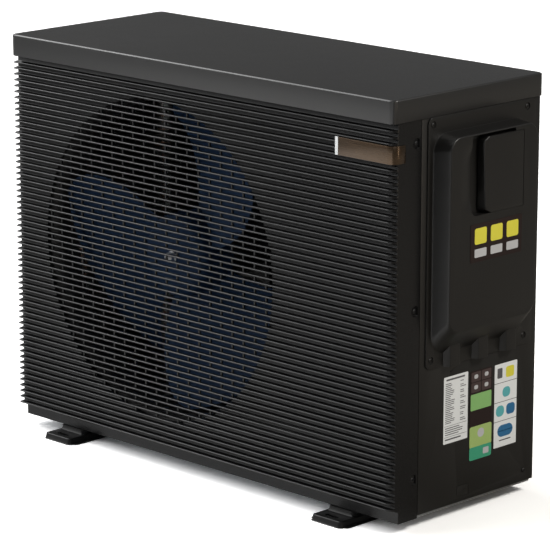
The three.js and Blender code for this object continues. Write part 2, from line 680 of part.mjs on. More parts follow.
function fanMotor() {
  const body = turned("y", [FAN_X, 0, FAN_Z], [
    [0, MOTOR_FRONT_Y - 12], [18, MOTOR_FRONT_Y - 12], [20, MOTOR_FRONT_Y], [54, MOTOR_FRONT_Y],
    [60, MOTOR_FRONT_Y + 8], [60, MOTOR_BACK_Y - 6], [54, MOTOR_BACK_Y], [0, MOTOR_BACK_Y],
  ], 20);
  const bore = rod("y", [FAN_X, 0, FAN_Z], SHAFT.radius + GAP, MOTOR_FRONT_Y - 20, MOTOR_FRONT_Y + 30, 16);
  return cut(body, bore);
}

function motorBracket() {
  const rail = (x) => box(x - 12, x + 12, MOTOR_BACK_Y + 2, MOTOR_BACK_Y + 16, 22.4, 735);
  const plate = box(FAN_X - 87, FAN_X + 87, MOTOR_BACK_Y + 0.4, MOTOR_BACK_Y + 3, FAN_Z - 60, FAN_Z + 60);
  const tie = box(FAN_X - 75, FAN_X + 75, MOTOR_BACK_Y + 5, MOTOR_BACK_Y + 8, 715, 735);
  return union(rail(FAN_X - 75), rail(FAN_X + 75), plate, tie);
}

// The coil goes round the back left corner and reaches past the partition on the right. Its
// fins are a sheet folded back and forth between the coil's two faces.
const COIL = {
  depth: 36, fold: 20, fin: 2, left: -455, right: 225, front: 92, rear: 364, bottom: 24, top: 700,
};

// One straight leg of folded fins, in a strip of the coil's depth, starting at a full-width fin.
function foldedFins(length) {
  const { depth, fold, fin } = COIL;
  const near = [];
  const far = [];
  const folds = Math.floor(length / fold);
  for (let i = 0; i < folds; i++) {
    const at = i * fold;
    const inner = i % 2 === 0;
    near.push([at + (inner ? fin : 0), inner ? depth - fin : 0]);
    near.push([at + fold + (inner ? 0 : fin), inner ? depth - fin : 0]);
    far.unshift([at + (inner ? 0 : fin), inner ? depth : fin]);
    far.unshift([at + fold + (inner ? fin : 0), inner ? depth : fin]);
  }
  return { near, far, reach: folds * fold };
}

function evaporatorCoil() {
  const { depth, fin, left, right, front, rear, bottom, top } = COIL;
  const leg = (length, place) => {
    const { near, far } = foldedFins(length);
    return prismZ(outline([...near, ...far].map(place)), bottom, top);
  };
  const back = leg(right - left - fin, ([u, v]) => [right - u, rear - depth + v]);
  const side = leg(rear - front - depth, ([u, v]) => [left + depth - v, rear - depth - u]);
  const corner = box(left, left + depth + 8, rear - depth - 6, rear, bottom, top);
  const room = box(
    left + fin, left + depth - 2 * fin, rear - depth + 2 * fin, rear - fin, bottom - 5, top + 5,
  );
  return union(back, side, cut(corner, room));
}

function partitionPanel() {
  const wall = box(PARTITION_X, PARTITION_X + 2, 30, 324, 22.4, PANEL_TOP);
  return cut(wall, box(PARTITION_X - 5, PARTITION_X + 5, 118, 262, 588, 682));
}

// ---------------------------------------------------------------- refrigerant circuit

const ACCUMULATOR = { x: 425, y: 150, radius: 28 };
const mountAngles = [90, 210, 330].map((degrees) => (degrees * Math.PI) / 180);
const mountPlace = (angle) => [
  COMPRESSOR.x + COMPRESSOR.lugRadius * Math.cos(angle),
  COMPRESSOR.y + COMPRESSOR.lugRadius * Math.sin(angle),
];

function compressor() {
  const { x, y, radius } = COMPRESSOR;
  const shell = turned("z", [x, y, 0], [
    [0, 70], [50, 70], [radius, 80], [radius, 312], [50, 326], [28, 333], [0, 335],
  ], 20);
  const plateCorners = mountAngles.map((angle) => [x + 108 * Math.cos(angle), y + 108 * Math.sin(angle), 24]);
  const plate = prismZ(outline(plateCorners), 66, 71, 3);
  const terminals = rod("z", [x - 24, y + 18, 0], 16, 322, 346, 12);
  const accumulator = turned("z", [ACCUMULATOR.x, ACCUMULATOR.y, 0], [
    [0, 92], [16, 94], [ACCUMULATOR.radius, 104], [ACCUMULATOR.radius, 252], [16, 264], [0, 269],
  ], 14);
  const strap = box(x + 50, ACCUMULATOR.x - 20, y + 4, y + 24, 190, 210);
  const elbow = pipe([
    [ACCUMULATOR.x, ACCUMULATOR.y, 96], [ACCUMULATOR.x, ACCUMULATOR.y, 84], [x + 50, y + 8, 84],
  ], 8);
  return union(shell, plate, terminals, accumulator, strap, elbow);
}

function compressorMount(angle) {
  const [x, y] = mountPlace(angle);
  const profile = [[0, 22.3], [14, 22.3], [14, 34], [11, 42], [14, 50], [14, 65.7], [0, 65.7]];
  return turned("z", [x, y, 0], profile, 12);
}

const VALVE = { y: 75, z: 450, centreX: 290 };

function fourWayValve() {
  const { y, z, centreX } = VALVE;
  const stubs = [-22, 0, 22].map((dx) => rod("z", [centreX + dx, y, 0], 7, z - 35.5, z, 10));
  return union(
    rod("x", [0, y, z], 12, centreX - 45, centreX + 45, 12),
    rod("z", [centreX, y, 0], 7, z, z + 25.5, 10),
    ...stubs,
  );
}

function valveSolenoid() {
  const { y, z, centreX } = VALVE;
  const coil = box(centreX - 16, centreX + 16, y + 14, y + 40, z - 14, z + 14);
  return union(coil, rod("x", [0, y + 27, z], 6, centreX - 30, centreX + 30, 10));
}

const EXPANSION = { x: 262, y: 300 };

function expansionValve() {
  const { x, y } = EXPANSION;
  const body = rod("z", [x, y, 0], 9, 328, 395.6, 10);
  const head = rod("z", [x, y, 0], 16, 350, 384, 12);
  const outlet = pipe([[x, y, 332], [x, y, 285], [240, 346, 285], [225.4, 346, 285]], 5);
  return union(body, head, outlet);
}

const copperPipes = {
  discharge_pipe: [[330, 130, 335.5], [330, 130, 502], [290, 75, 505], [290, 75, 475.9]],
  suction_pipe: [[290, 75, 414.1], [290, 75, 357], [425, 150, 357], [425, 150, 269.6]],
  gas_pipe: [
    [312, 75, 414.1], [312, 75, 385], [400, 170, 385], [400, 170, 535], [387, 290, 535], [387, 290, 521.4],
  ],
  liquid_pipe: [[345, 290, 521.4], [345, 290, 545], [262, 300, 545], [262, 300, 396]],
  coil_return_pipe: [[268, 75, 414.1], [268, 75, 395], [233, 110, 395], [233, 346, 395], [225.4, 346, 395]],
};

// ---------------------------------------------------------------- water circuit

function exchangerShell() {
  const { x, y, radius, bottom, top, wall, helixRadius } = EXCHANGER;
  const ports = Object.values(UNION_HEIGHTS).map((z) => rod("y", [x, 0, z], 24, 335, 359.5, 12));
  const bores = Object.values(UNION_HEIGHTS).map((z) => rod("y", [x, 0, z], 20, y, 362, 12));
  const pedestal = rod("z", [x, y, 0], 40, FRONT_BOTTOM + TRAY.wall + GAP, bottom + 2, 12);
  const outer = union(rod("z", [x, y, 0], radius, bottom, top, 20), pedestal, ...ports);
  const tubeHoles = [x, x + helixRadius].map((holeX) => rod("z", [holeX, y, 0], 7, top - 20, top + 10, 10));
  const hollow = rod("z", [x, y, 0], radius - wall, bottom + wall, top - wall, 20);
  return cut(outer, hollow, ...bores, ...tubeHoles);
}

// Titanium tube: down the middle of the shell, then up again as a helix.
class ExchangerTube extends THREE.Curve {
  getPoint(t, target = new THREE.Vector3()) {
    const { x, y, helixRadius: radius } = EXCHANGER;
    const turns = 5;
    const tails = 521; // height of both ends, above the shell
    const low = 92;
    const helix = { bottom: 102, top: 460 };
    const [downEnd, outEnd, helixEnd] = [0.2, 0.23, 0.97]; // where each stage ends along the tube
    if (t < downEnd) return target.set(x, y, tails - (tails - low) * (t / downEnd));
    if (t < outEnd) {
      const out = (t - downEnd) / (outEnd - downEnd);
      return target.set(x + radius * out, y, low + (helix.bottom - low) * out);
    }
    if (t > helixEnd) {
      const up = (t - helixEnd) / (1 - helixEnd);
      return target.set(x + radius, y, helix.top + (tails - helix.top) * up);
    }
    const share = (t - outEnd) / (helixEnd - outEnd);
    const angle = share * turns * 2 * Math.PI;
    const height = helix.bottom + (helix.top - helix.bottom) * share;
    return target.set(x + radius * Math.cos(angle), y + radius * Math.sin(angle), height);
  }
}

function waterUnion(z) {
  return turned("y", [UNION_X, 0, z], [
    [20, 359.8], [25, 359.8], [25, 377.6], [35, 377.6], [35, 383], [30, 383], [30, 402],
    [27.5, 402], [27.5, 445], [25.2, 445], [25.2, 412], [20, 408],
  ], 14);
}

function unionNut(z) {
  return turned("y", [UNION_X, 0, z], [
    [31, 386], [40, 386], [40, 410], [37, 415], [28.6, 415], [28.6, 405], [31, 403],
  ], 14);
}

// ---------------------------------------------------------------- electronics

function electronicsBox() {
  const shell = cut(box(222, 462, 60, 300, 560, 700), box(223.5, 460.5, 61.5, 298.5, 561.5, 710));
  const plate = box(440, 441.5, 100, 320, 318, 561);
  return cut(union(shell, plate), box(430, 455, 200, 230, 555, 565));
}

function inverterBoard() {
  const capacitors = [270, 305, 340].map((x) => rod("z", [x, 240, 0], 14, 567, 612, 10));
  return union(
    box(232, 452, 70, 290, 566, 568),
    box(240, 300, 90, 150, 567, 590),
    box(330, 372, 90, 130, 567, 598),
    box(400, 440, 100, 260, 567, 582),
    ...capacitors,
  );
}

function heatSink() {
  const fins = [];
  for (let y = 122; y <= 258; y += 17) fins.push([y, y + 2]);
  const corners = [[PARTITION_X + 8, 120], [PARTITION_X + 4, 120]];
  for (const [near, far] of fins) {
    corners.push([PARTITION_X + 4, near], [162, near], [162, far], [PARTITION_X + 4, far]);
  }
  corners.push([PARTITION_X + 4, 260], [PARTITION_X + 8, 260]);
  const plate = box(PARTITION_X + 2.4, PARTITION_X + 8, 112, 268, 582, 688);
  return union(prismZ(outline(corners), 592, 678), plate);
}

function terminalBlock() {
  const base = box(441.8, 452, 130, 260, down(412), down(382));
  const walls = [0, 1, 2, 3, 4, 5, 6].map((i) => {
    const y = 130 + i * 21.4;
    return box(451, 464, y, y + 1.6, down(412), down(382));
  });
  return union(base, ...walls);
}

// ---------------------------------------------------------------- put together

add("top_cover", topCover(), LOOK.lid);
add("front_panel", frontPanel(), LOOK.frontPanel);
add("right_side_panel", rightSidePanel(), LOOK.sideWall);
add("left_side_panel", leftSidePanel(), LOOK.sideWall);
add("rear_coil_guard", rearCoilGuard(), LOOK.sideWall);
add("rear_panel", rearPanel(), LOOK.sideWall);
add("base_pan", basePan(), LOOK.galvanised);
add("foot_left", foot(-FOOT_CENTRE_X), LOOK.darkPlastic);
add("foot_right", foot(FOOT_CENTRE_X), LOOK.darkPlastic);

add("service_cover", serviceCover(), LOOK.cover);
add("controller_door", controllerDoor(), LOOK.cover);
add("controller_unit", controllerUnit(), LOOK.darkPlastic);
add("display_window", box(506.7, 507.9, 204, 268, down(172), down(112)), LOOK.screen);
KEY_NAMES.forEach((name, i) => add(name, key(i), LOOK.greyPlastic));

add("trim_strip", trimStrip(), LOOK.bronze);
add("warning_label", sideLabel(FACE_X, 154.6, 287, 227.5, 293.8), LOOK.brownLabel);
add("rating_plate", sideLabel(SIDE_X, 135.4, 197.8, 497.3, 616.3), LOOK.label);
add("energy_label", sideLabel(SIDE_X, 203.5, 261.1, 500, 661.4), LOOK.brownLabel);
add("safety_label", sideLabel(SIDE_X, 267.8, 327.4, 501, 651.8), LOOK.label);

COVER_SCREWS.forEach(([y, drop], i) => {
  const x = COVER_X + COVER_FLANGE.thickness - COVER_SINK + GAP;
  add(`cover_screw_${i + 1}`, sideScrew(x, y, drop), LOOK.blackSteel);
});
FRONT_SCREW_DROPS.forEach((drop, i) => {
  const x = SIDE_X - RECESS.depth + GAP;
  add(`front_panel_screw_${i + 1}`, sideScrew(x, FRONT_SCREW_Y, drop), LOOK.blackSteel);
});
add("side_panel_screw", sideScrew(SIDE_X + GAP, ...SIDE_SCREW, 3), LOOK.blackSteel);

add("partition_panel", partitionPanel(), LOOK.galvanised);
add("evaporator_coil", evaporatorCoil(), LOOK.aluminium);
add("fan_shroud", fanShroud(), LOOK.darkPlastic);
add("motor_bracket", motorBracket(), LOOK.galvanised);
add("fan_motor", fanMotor(), LOOK.blackSteel);
add("fan_shaft", fanShaft(), LOOK.galvanised);
add("fan_blade", fanWheel(), LOOK.navyPlastic);
add("fan_nut", fanNut(), LOOK.galvanised);

add("compressor", compressor(), LOOK.blackSteel);
mountAngles.forEach((angle, i) => add(`compressor_mount_${i + 1}`, compressorMount(angle), LOOK.rubber));
add("four_way_valve", fourWayValve(), LOOK.brass);
add("valve_solenoid", valveSolenoid(), LOOK.darkPlastic);
add("expansion_valve", expansionValve(), LOOK.brass);
for (const [name, points] of Object.entries(copperPipes)) add(name, pipe(points, 6), LOOK.copper);

add("exchanger_shell", exchangerShell(), LOOK.greyPlastic);
add("exchanger_coil", swept(new ExchangerTube(), 5.5, 28, 6), LOOK.titanium);
for (const [side, z] of Object.entries(UNION_HEIGHTS)) {
  add(`${side}_union`, waterUnion(z), LOOK.darkPlastic);
  add(`${side}_union_nut`, unionNut(z), LOOK.darkPlastic);
}

add("electronics_box", electronicsBox(), LOOK.galvanised);
add("inverter_board", inverterBoard(), LOOK.board);
add("heat_sink", heatSink(), LOOK.aluminium);
add("terminal_block", terminalBlock(), LOOK.whitePlastic);

const middle = new THREE.Box3().setFromObject(unit).getCenter(new THREE.Vector3());
unit.position.set(-middle.x, -middle.y, 0);

export default unit;
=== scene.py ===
import json
import math
import random

import bpy
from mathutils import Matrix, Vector


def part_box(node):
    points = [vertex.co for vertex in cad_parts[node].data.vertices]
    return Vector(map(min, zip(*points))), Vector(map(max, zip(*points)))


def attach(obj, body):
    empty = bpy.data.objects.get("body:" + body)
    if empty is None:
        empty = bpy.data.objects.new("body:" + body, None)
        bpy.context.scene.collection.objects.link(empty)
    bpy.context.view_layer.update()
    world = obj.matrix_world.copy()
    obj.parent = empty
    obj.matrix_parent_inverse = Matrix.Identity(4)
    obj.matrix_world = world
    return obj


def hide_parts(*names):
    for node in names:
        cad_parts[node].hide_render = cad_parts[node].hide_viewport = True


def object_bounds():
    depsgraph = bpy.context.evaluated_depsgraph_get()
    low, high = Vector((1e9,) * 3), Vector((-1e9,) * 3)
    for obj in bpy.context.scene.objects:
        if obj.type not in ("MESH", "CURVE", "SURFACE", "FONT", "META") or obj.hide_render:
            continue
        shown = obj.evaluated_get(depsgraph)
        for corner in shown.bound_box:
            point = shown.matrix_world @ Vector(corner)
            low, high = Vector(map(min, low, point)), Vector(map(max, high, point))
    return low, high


# Pool heat pump unit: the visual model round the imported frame.
#
# Shapes are written in millimetres in the cabinet's own frame: x = 0 is the middle of the lid,
# y = 0 is the lid's front face, z = 0 is the floor. "drop" is a distance down from the lid's top.
# ORIGIN says where that frame sits in the row frame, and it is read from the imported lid.

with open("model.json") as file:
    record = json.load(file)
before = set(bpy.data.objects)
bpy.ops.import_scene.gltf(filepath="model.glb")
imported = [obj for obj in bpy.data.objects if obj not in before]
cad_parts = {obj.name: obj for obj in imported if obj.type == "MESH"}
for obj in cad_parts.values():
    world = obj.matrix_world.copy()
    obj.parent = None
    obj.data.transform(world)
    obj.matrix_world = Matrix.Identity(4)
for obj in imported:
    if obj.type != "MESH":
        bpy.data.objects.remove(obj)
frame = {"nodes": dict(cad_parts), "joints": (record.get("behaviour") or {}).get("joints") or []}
cad_low, cad_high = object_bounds()

MM = 0.001
lid_low, lid_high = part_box("top_cover")
ORIGIN = Vector(((lid_low.x + lid_high.x) / 2, lid_low.y, cad_low.z))


def span(node):
    """A CAD node's box as x0, x1, y0, y1, z0, z1 in millimetres in the cabinet's frame."""
    low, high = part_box(node)
    low = (low - ORIGIN) / MM
    high = (high - ORIGIN) / MM
    return low.x, high.x, low.y, high.y, low.z, high.z


def middle(values, axis):
    """Middle of a span along axis 0, 1 or 2."""
    return (values[axis * 2] + values[axis * 2 + 1]) / 2


LID_X0, LID_X1, LID_Y0, LID_Y1, LID_BOTTOM, HEIGHT = span("top_cover")


def down(drop):
    return HEIGHT - drop


# ---------------------------------------------------------------- shells
# A shell is (points, faces): one closed surface. A Shape holds shells, each with its own look.


def signed_volume(points, faces):
    total = 0
    for face in faces:
        a = Vector(points[face[0]])
        for k in range(1, len(face) - 1):
            total += a.dot(Vector(points[face[k]]).cross(Vector(points[face[k + 1]])))
    return total


class Shape:
    def __init__(self, *shells):
        self.points = []
        self.faces = []
        self.looks = []
        for shell in shells:
            self.add(shell)

    def add(self, shell, look=0):
        points, faces = shell
        if signed_volume(points, faces) < 0:
            faces = [tuple(reversed(face)) for face in faces]
        start = len(self.points)
        self.points += [tuple(p) for p in points]
        self.faces += [tuple(i + start for i in face) for face in faces]
        self.looks += [look] * len(faces)
        return self


def loft(rings, closed=False):
    """Skin over equal-sized rings of points, capped at both ends unless it closes on itself."""
    count = len(rings[0])
    points = [p for ring in rings for p in ring]
    faces = []
    for i in range(len(rings) if closed else len(rings) - 1):
        a = i * count
        b = ((i + 1) % len(rings)) * count
        for j in range(count):
            k = (j + 1) % count
            faces.append((a + j, a + k, b + k, b + j))
    if not closed:
        last = (len(rings) - 1) * count
        faces.append(tuple(reversed(range(count))))
        faces.append(tuple(range(last, last + count)))
    return points, faces


def lift(axis, outline, level):
    """A flat outline at a level on an axis: (x, y) for z, (y, z) for x and (x, z) for y."""
    if axis == "z":
        return [(u, v, level) for u, v in outline]
    if axis == "x":
        return [(level, u, v) for u, v in outline]
    return [(u, level, v) for u, v in outline]


def prism(axis, outline, low, high):
    return loft([lift(axis, outline, low), lift(axis, outline, high)])


def box(x0, x1, y0, y1, z0, z1):
    return prism("z", [(x0, y0), (x1, y0), (x1, y1), (x0, y1)], z0, z1)


def rounded(u0, u1, v0, v1, radius, steps=6):
    """Rectangle with round corners. radius is one number or one per corner, from (u1, v0) round."""
    radii = [radius] * 4 if isinstance(radius, (int, float)) else radius
    centres = [(u1, v0, 1, -1), (u1, v1, 1, 1), (u0, v1, -1, 1), (u0, v0, -1, -1)]
    outline = []
    for quarter, ((u, v, du, dv), r) in enumerate(zip(centres, radii)):
        r = max(r, 0.02)
        for k in range(steps + 1):
            angle = math.pi / 2 * (quarter - 1 + k / steps)
            outline.append((u - du * r + r * math.cos(angle), v - dv * r + r * math.sin(angle)))
    return outline


def shrunk(rect, inset):
    u0, u1, v0, v1 = rect
    return u0 + inset, u1 - inset, v0 + inset, v1 - inset


def quarter(steps, first=0):
    """Angles of a quarter turn, evenly spaced."""
    return [math.pi / 2 * k / steps for k in range(first, steps + 1)]


def slab(axis, rect, radius, low, high, low_edge=0, high_edge=0, steps=6, fillet=3):
    """Rounded rectangle with some thickness, with its low and high edges rounded over."""
    levels = []
    for a in quarter(fillet) if low_edge else [0]:
        levels.append((low + low_edge * (1 - math.cos(a)), low_edge * (1 - math.sin(a))))
    for a in quarter(fillet) if high_edge else [0]:
        levels.append((high - high_edge * (1 - math.sin(a)), high_edge * (1 - math.cos(a))))
    rings = []
    for level, inset in levels:
        outline = rounded(*shrunk(rect, inset), max(radius - inset, 0.05), steps)
        rings.append(lift(axis, outline, level))
    return loft(rings)


def eased(points, radius=0, closed=False, steps=4):
    """A path or outline with its corners rounded. A point may carry its own radius as a last item."""
    size = 3 if isinstance(points[0], Vector) else 2
    at = [p if isinstance(p, Vector) else Vector(p[:2]) for p in points]
    radii = [radius if isinstance(p, Vector) or len(p) == size else p[2] for p in points]
    count = len(at)
    result = []
    for i, corner in enumerate(at):
        inner = closed or 0 < i < count - 1
        back = at[i - 1] - corner
        ahead = at[(i + 1) % count] - corner
        reach = min(radii[i], back.length * 0.48, ahead.length * 0.48) if inner else 0
        if reach < 0.01:
            result.append(corner)
            continue
        start = corner + back.normalized() * reach
        end = corner + ahead.normalized() * reach
        for k in range(steps + 1):
            t = k / steps
            result.append(start * (1 - t) ** 2 + corner * 2 * t * (1 - t) + end * t * t)
    return result if size == 3 else [tuple(p) for p in result]


def turned(axis, centre, profile, segments=64):
    """A body turned about an axis. The profile is [radius, position along the axis]."""
    solid = profile[0][0] < 1e-6
    rows = [p for p in profile if p[0] > 1e-6]

    def ring(radius, along):
        points = []
        for k in range(segments):
            angle = 2 * math.pi * k / segments
            u = radius * math.cos(angle)
            v = radius * math.sin(angle)
            offset = {"x": (along, u, v), "y": (u, along, v), "z": (u, v, along)}[axis]
            points.append(tuple(c + o for c, o in zip(centre, offset)))
        return points

    return loft([ring(r, a) for r, a in rows], closed=not solid)


def rod(axis, centre, radius, low, high, edge=0, segments=48):
    if not edge:
        return turned(axis, centre, [(0, low), (radius, low), (radius, high), (0, high)], segments)
    profile = [(radius - edge, low), (radius, low + edge), (radius, high - edge), (radius - edge, high)]
    return turned(axis, centre, [(0, low)] + profile + [(0, high)], segments)


def swept(path, radius, sides=16):
    """Round bar along a path, with its section carried round the bends without twisting."""
    path = [Vector(p) for p in path]
    tangents = []
    for i in range(len(path)):
        tangents.append((path[min(i + 1, len(path) - 1)] - path[max(i - 1, 0)]).normalized())
    side = tangents[0].orthogonal().normalized()
    rings = []
    for point, tangent in zip(path, tangents):
        side = (side - tangent * side.dot(tangent)).normalized()
        up = tangent.cross(side)
        ring = []
        for k in range(sides):
            angle = 2 * math.pi * k / sides
            ring.append(tuple(point + (side * math.cos(angle) + up * math.sin(angle)) * radius))
        rings.append(ring)
    return loft(rings)


def pipe(points, radius, bend):
    return swept(eased([Vector(p) for p in points], bend, steps=8), radius, 20)


# ---------------------------------------------------------------- objects


def mesh_object(name, shape):
    """Object made from a Shape or from one shell, in the cabinet's frame."""
    shape = shape if isinstance(shape, Shape) else Shape(shape)
    mesh = bpy.data.meshes.new(name)
    mesh.from_pydata([ORIGIN + Vector(p) * MM for p in shape.points], [], shape.faces)
    mesh.polygons.foreach_set("material_index", shape.looks)
    made = bpy.data.objects.new(name, mesh)
    bpy.context.scene.collection.objects.link(made)
    return made


def bake(piece):
    """Applies a piece's modifiers to its mesh."""
    bpy.context.view_layer.update()
    graph = bpy.context.evaluated_depsgraph_get()
    mesh = bpy.data.meshes.new_from_object(piece.evaluated_get(graph), depsgraph=graph)
    piece.modifiers.clear()
    old = piece.data
    piece.data = mesh
    bpy.data.meshes.remove(old)
    mesh.name = piece.name


def combine(piece, shapes, operation):
    for shape in shapes:
        tool = mesh_object("tool", shape)
        modifier = piece.modifiers.new("combine", "BOOLEAN")
        modifier.operation = operation
        modifier.solver = "EXACT"
        modifier.object = tool
        bake(piece)
        bpy.data.objects.remove(tool, do_unlink=True)


def carve(piece, *cutters):
    combine(piece, cutters, "DIFFERENCE")


def join(piece, *parts):
    combine(piece, parts, "UNION")


def ease_edges(piece, width, segments=2, angle=40):
    modifier = piece.modifiers.new("ease", "BEVEL")
    modifier.width = width * MM
    modifier.segments = segments
    modifier.limit_method = "ANGLE"
    modifier.angle_limit = math.radians(angle)
    bake(piece)


def settle(piece, slot, node=None, body="cabinet", looks=None, sharp=32):
    """Shading, materials and body of a finished piece, and the CAD node it stands for."""
    mesh = piece.data
    while mesh.materials:
        mesh.materials.pop()
    for look in looks or [slot]:
        mesh.materials.append(LOOK[look])
    mesh.shade_smooth()
    mesh.set_sharp_from_angle(angle=math.radians(sharp))
    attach(piece, body)
    if node:
        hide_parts(node)


def make(name, shape, slot, node=None, **settings):
    settle(mesh_object(name, shape), slot, node, **settings)


# ---------------------------------------------------------------- materials


class Nodes:
    """Adds linked shader nodes to the tree of a material or of the world."""

    def __init__(self, tree):
        self.tree = tree

    def add(self, kind, inputs=None, **settings):
        node = self.tree.nodes.new(kind)
        for key, value in settings.items():
            setattr(node, key, value)
        for key, value in (inputs or {}).items():
            self.feed(node.inputs[key], value)
        return node

    def feed(self, socket, value):
        """Links a socket to another socket, or gives it a plain value."""
        if isinstance(value, bpy.types.NodeSocket):
            self.tree.links.new(value, socket)
        else:
            socket.default_value = value

    def noise(self, vector, scale, detail=3.0, rough=0.55):
        inputs = {"Vector": vector, "Scale": scale, "Detail": detail, "Roughness": rough}
        return self.add("ShaderNodeTexNoise", inputs).outputs["Fac"]

    def spread(self, value, low, high, source_low=0.3, source_high=0.7):
        inputs = {"Value": value, "To Min": low, "To Max": high}
        inputs.update({"From Min": source_low, "From Max": source_high})
        return self.add("ShaderNodeMapRange", inputs).outputs["Result"]

    def blend(self, factor, first, second):
        """Colour between two colours. 0, 6 and 7 are the mix node's factor and colour sockets."""
        return self.add("ShaderNodeMix", {0: factor, 6: first, 7: second}, data_type="RGBA").outputs[2]

    def along(self, vector, direction):
        inputs = {0: vector, 1: direction}
        return self.add("ShaderNodeVectorMath", inputs, operation="DOT_PRODUCT").outputs["Value"]

    def stretched(self, scale):
        coordinates = self.add("ShaderNodeTexCoord").outputs["Object"]
        return self.add("ShaderNodeMapping", {"Vector": coordinates, "Scale": scale}).outputs["Vector"]


def shade(colour, factor):
    return tuple(min(1.0, c * factor) for c in colour) + (1.0,)


LOOK = {}
GRAIN_DEPTH = 0.1


def finish(name, colour, roughness, metallic=0.0, mottle=0.12, grain=700.0, bump=0.15, roughness_swing=0.08,
           stretch=(1, 1, 1), wear=0.0, specular=0.5, coat=0.0):
    """Procedural material: slow colour drift, fine grain in relief and in roughness, worn edges."""
    material = bpy.data.materials.new(name)
    material.use_nodes = True
    tree = material.node_tree
    nodes = Nodes(tree)
    shader = tree.nodes["Principled BSDF"]
    plain = nodes.stretched((1, 1, 1))
    fine = nodes.noise(nodes.stretched(stretch), grain, 2.0)
    slow = nodes.noise(plain, 5.0, 4.0)
    blotch = nodes.noise(plain, 60.0, 3.0)
    base = nodes.blend(nodes.spread(slow, 0, 1), shade(colour, 1 - mottle), shade(colour, 1 + mottle))
    base = nodes.blend(nodes.spread(blotch, 0, mottle), base, shade(colour, 1.6))
    base = nodes.blend(nodes.spread(fine, 0, mottle * 0.8), base, shade(colour, 0.55))
    if wear:
        point = nodes.add("ShaderNodeNewGeometry").outputs["Pointiness"]
        edge = nodes.spread(point, 0, wear, 0.52, 0.6)
        base = nodes.blend(edge, base, shade(colour, 2.2))
    tree.links.new(base, shader.inputs["Base Color"])
    rough = nodes.spread(fine, roughness - roughness_swing, roughness + roughness_swing, 0.25, 0.75)
    drift = nodes.add("ShaderNodeMath", {0: rough, 1: nodes.spread(slow, -0.03, 0.03)}, operation="ADD")
    tree.links.new(drift.outputs[0], shader.inputs["Roughness"])
    relief = nodes.add("ShaderNodeBump", {"Strength": bump, "Distance": GRAIN_DEPTH * MM, "Height": fine})
    tree.links.new(relief.outputs["Normal"], shader.inputs["Normal"])
    levels = {"Metallic": metallic, "Specular IOR Level": specular, "Coat Weight": coat}
    levels["Coat Roughness"] = 0.15
    for socket, level in levels.items():
        shader.inputs[socket].default_value = level
    LOOK[name] = material


finish("lid_paint", (0.0125, 0.0125, 0.0125), 0.38, mottle=0.05, grain=900, bump=0.06, specular=0.6)
finish("front_plastic", (0.006, 0.006, 0.0062), 0.25, mottle=0.05, grain=1100, bump=0.05, specular=0.3)
finish("side_paint", (0.0065, 0.0061, 0.0054), 0.42, mottle=0.05, grain=900, bump=0.06)
finish("cover_plastic", (0.0045, 0.0042, 0.0037), 0.42, mottle=0.05, grain=1400, bump=0.08)
finish("foot_paint", (0.007, 0.007, 0.0072), 0.33, mottle=0.06, grain=800, bump=0.08, specular=0.2)
finish("galvanised_steel", (0.46, 0.48, 0.5), 0.42, 0.9, mottle=0.25, grain=160, bump=0.08,
       roughness_swing=0.12)
finish("bright_steel", (0.62, 0.62, 0.64), 0.28, 1.0, mottle=0.08, grain=500, stretch=(1, 8, 1), bump=0.1)
finish("black_steel", (0.010, 0.010, 0.011), 0.4, 0.2, mottle=0.1, grain=1500, bump=0.1)
finish("motor_paint", (0.014, 0.014, 0.016), 0.35, 0.1, mottle=0.1, bump=0.2, wear=0.3)
finish("compressor_paint", (0.012, 0.012, 0.013), 0.32, 0.1, mottle=0.1, grain=500, bump=0.25, wear=0.3)
finish("fin_aluminium", (0.62, 0.64, 0.66), 0.35, 1.0, mottle=0.1, grain=400, bump=0.1)
finish("copper", (0.62, 0.27, 0.14), 0.28, 1.0, mottle=0.22, grain=220, bump=0.08, roughness_swing=0.1)
finish("valve_brass", (0.62, 0.46, 0.17), 0.3, 1.0, mottle=0.15, grain=400, bump=0.08)
finish("titanium", (0.42, 0.42, 0.44), 0.35, 1.0, mottle=0.1, grain=400, bump=0.05)
finish("navy_plastic", (0.010, 0.030, 0.075), 0.6, mottle=0.08, grain=900, bump=0.1, specular=0.15)
finish("dark_plastic", (0.016, 0.016, 0.017), 0.5, mottle=0.1, grain=900, bump=0.2, wear=0.2)
finish("grey_pvc", (0.16, 0.17, 0.18), 0.4, mottle=0.08, grain=600, bump=0.1)
finish("white_plastic", (0.7, 0.7, 0.67), 0.4, mottle=0.05, grain=600, bump=0.1)
finish("key_rubber", (0.12, 0.125, 0.13), 0.75, mottle=0.1, grain=1500, bump=0.3)
finish("display_gloss", (0.004, 0.008, 0.01), 0.08, mottle=0.05, grain=300, bump=0.01, roughness_swing=0.02,
       coat=1.0)
finish("rubber", (0.012, 0.012, 0.012), 0.85, mottle=0.15, grain=900, bump=0.4)
finish("bronze_trim", (0.090, 0.058, 0.034), 0.3, 1.0, mottle=0.1, grain=900, stretch=(0.02, 0.02, 1),
       bump=0.12, roughness_swing=0.1, coat=0.5)
finish("white_label", (0.80, 0.82, 0.82), 0.45, mottle=0.03, grain=900, bump=0.05)
finish("brown_label", (0.020, 0.012, 0.011), 0.5, mottle=0.06, grain=900, bump=0.05, specular=0.2)
finish("circuit_board", (0.012, 0.1, 0.04), 0.35, mottle=0.1, grain=300, bump=0.2)
finish("print_grey", (0.09, 0.09, 0.095), 0.5, mottle=0.05, bump=0.05)
PRINT_COLOURS = {
    "yellow": (0.72, 0.66, 0.06), "silver": (0.50, 0.50, 0.51), "green": (0.24, 0.48, 0.16),
    "lime": (0.36, 0.50, 0.16), "teal": (0.045, 0.33, 0.19), "blue": (0.02, 0.14, 0.30),
    "aqua": (0.10, 0.42, 0.44), "plum": (0.055, 0.034, 0.033),
}
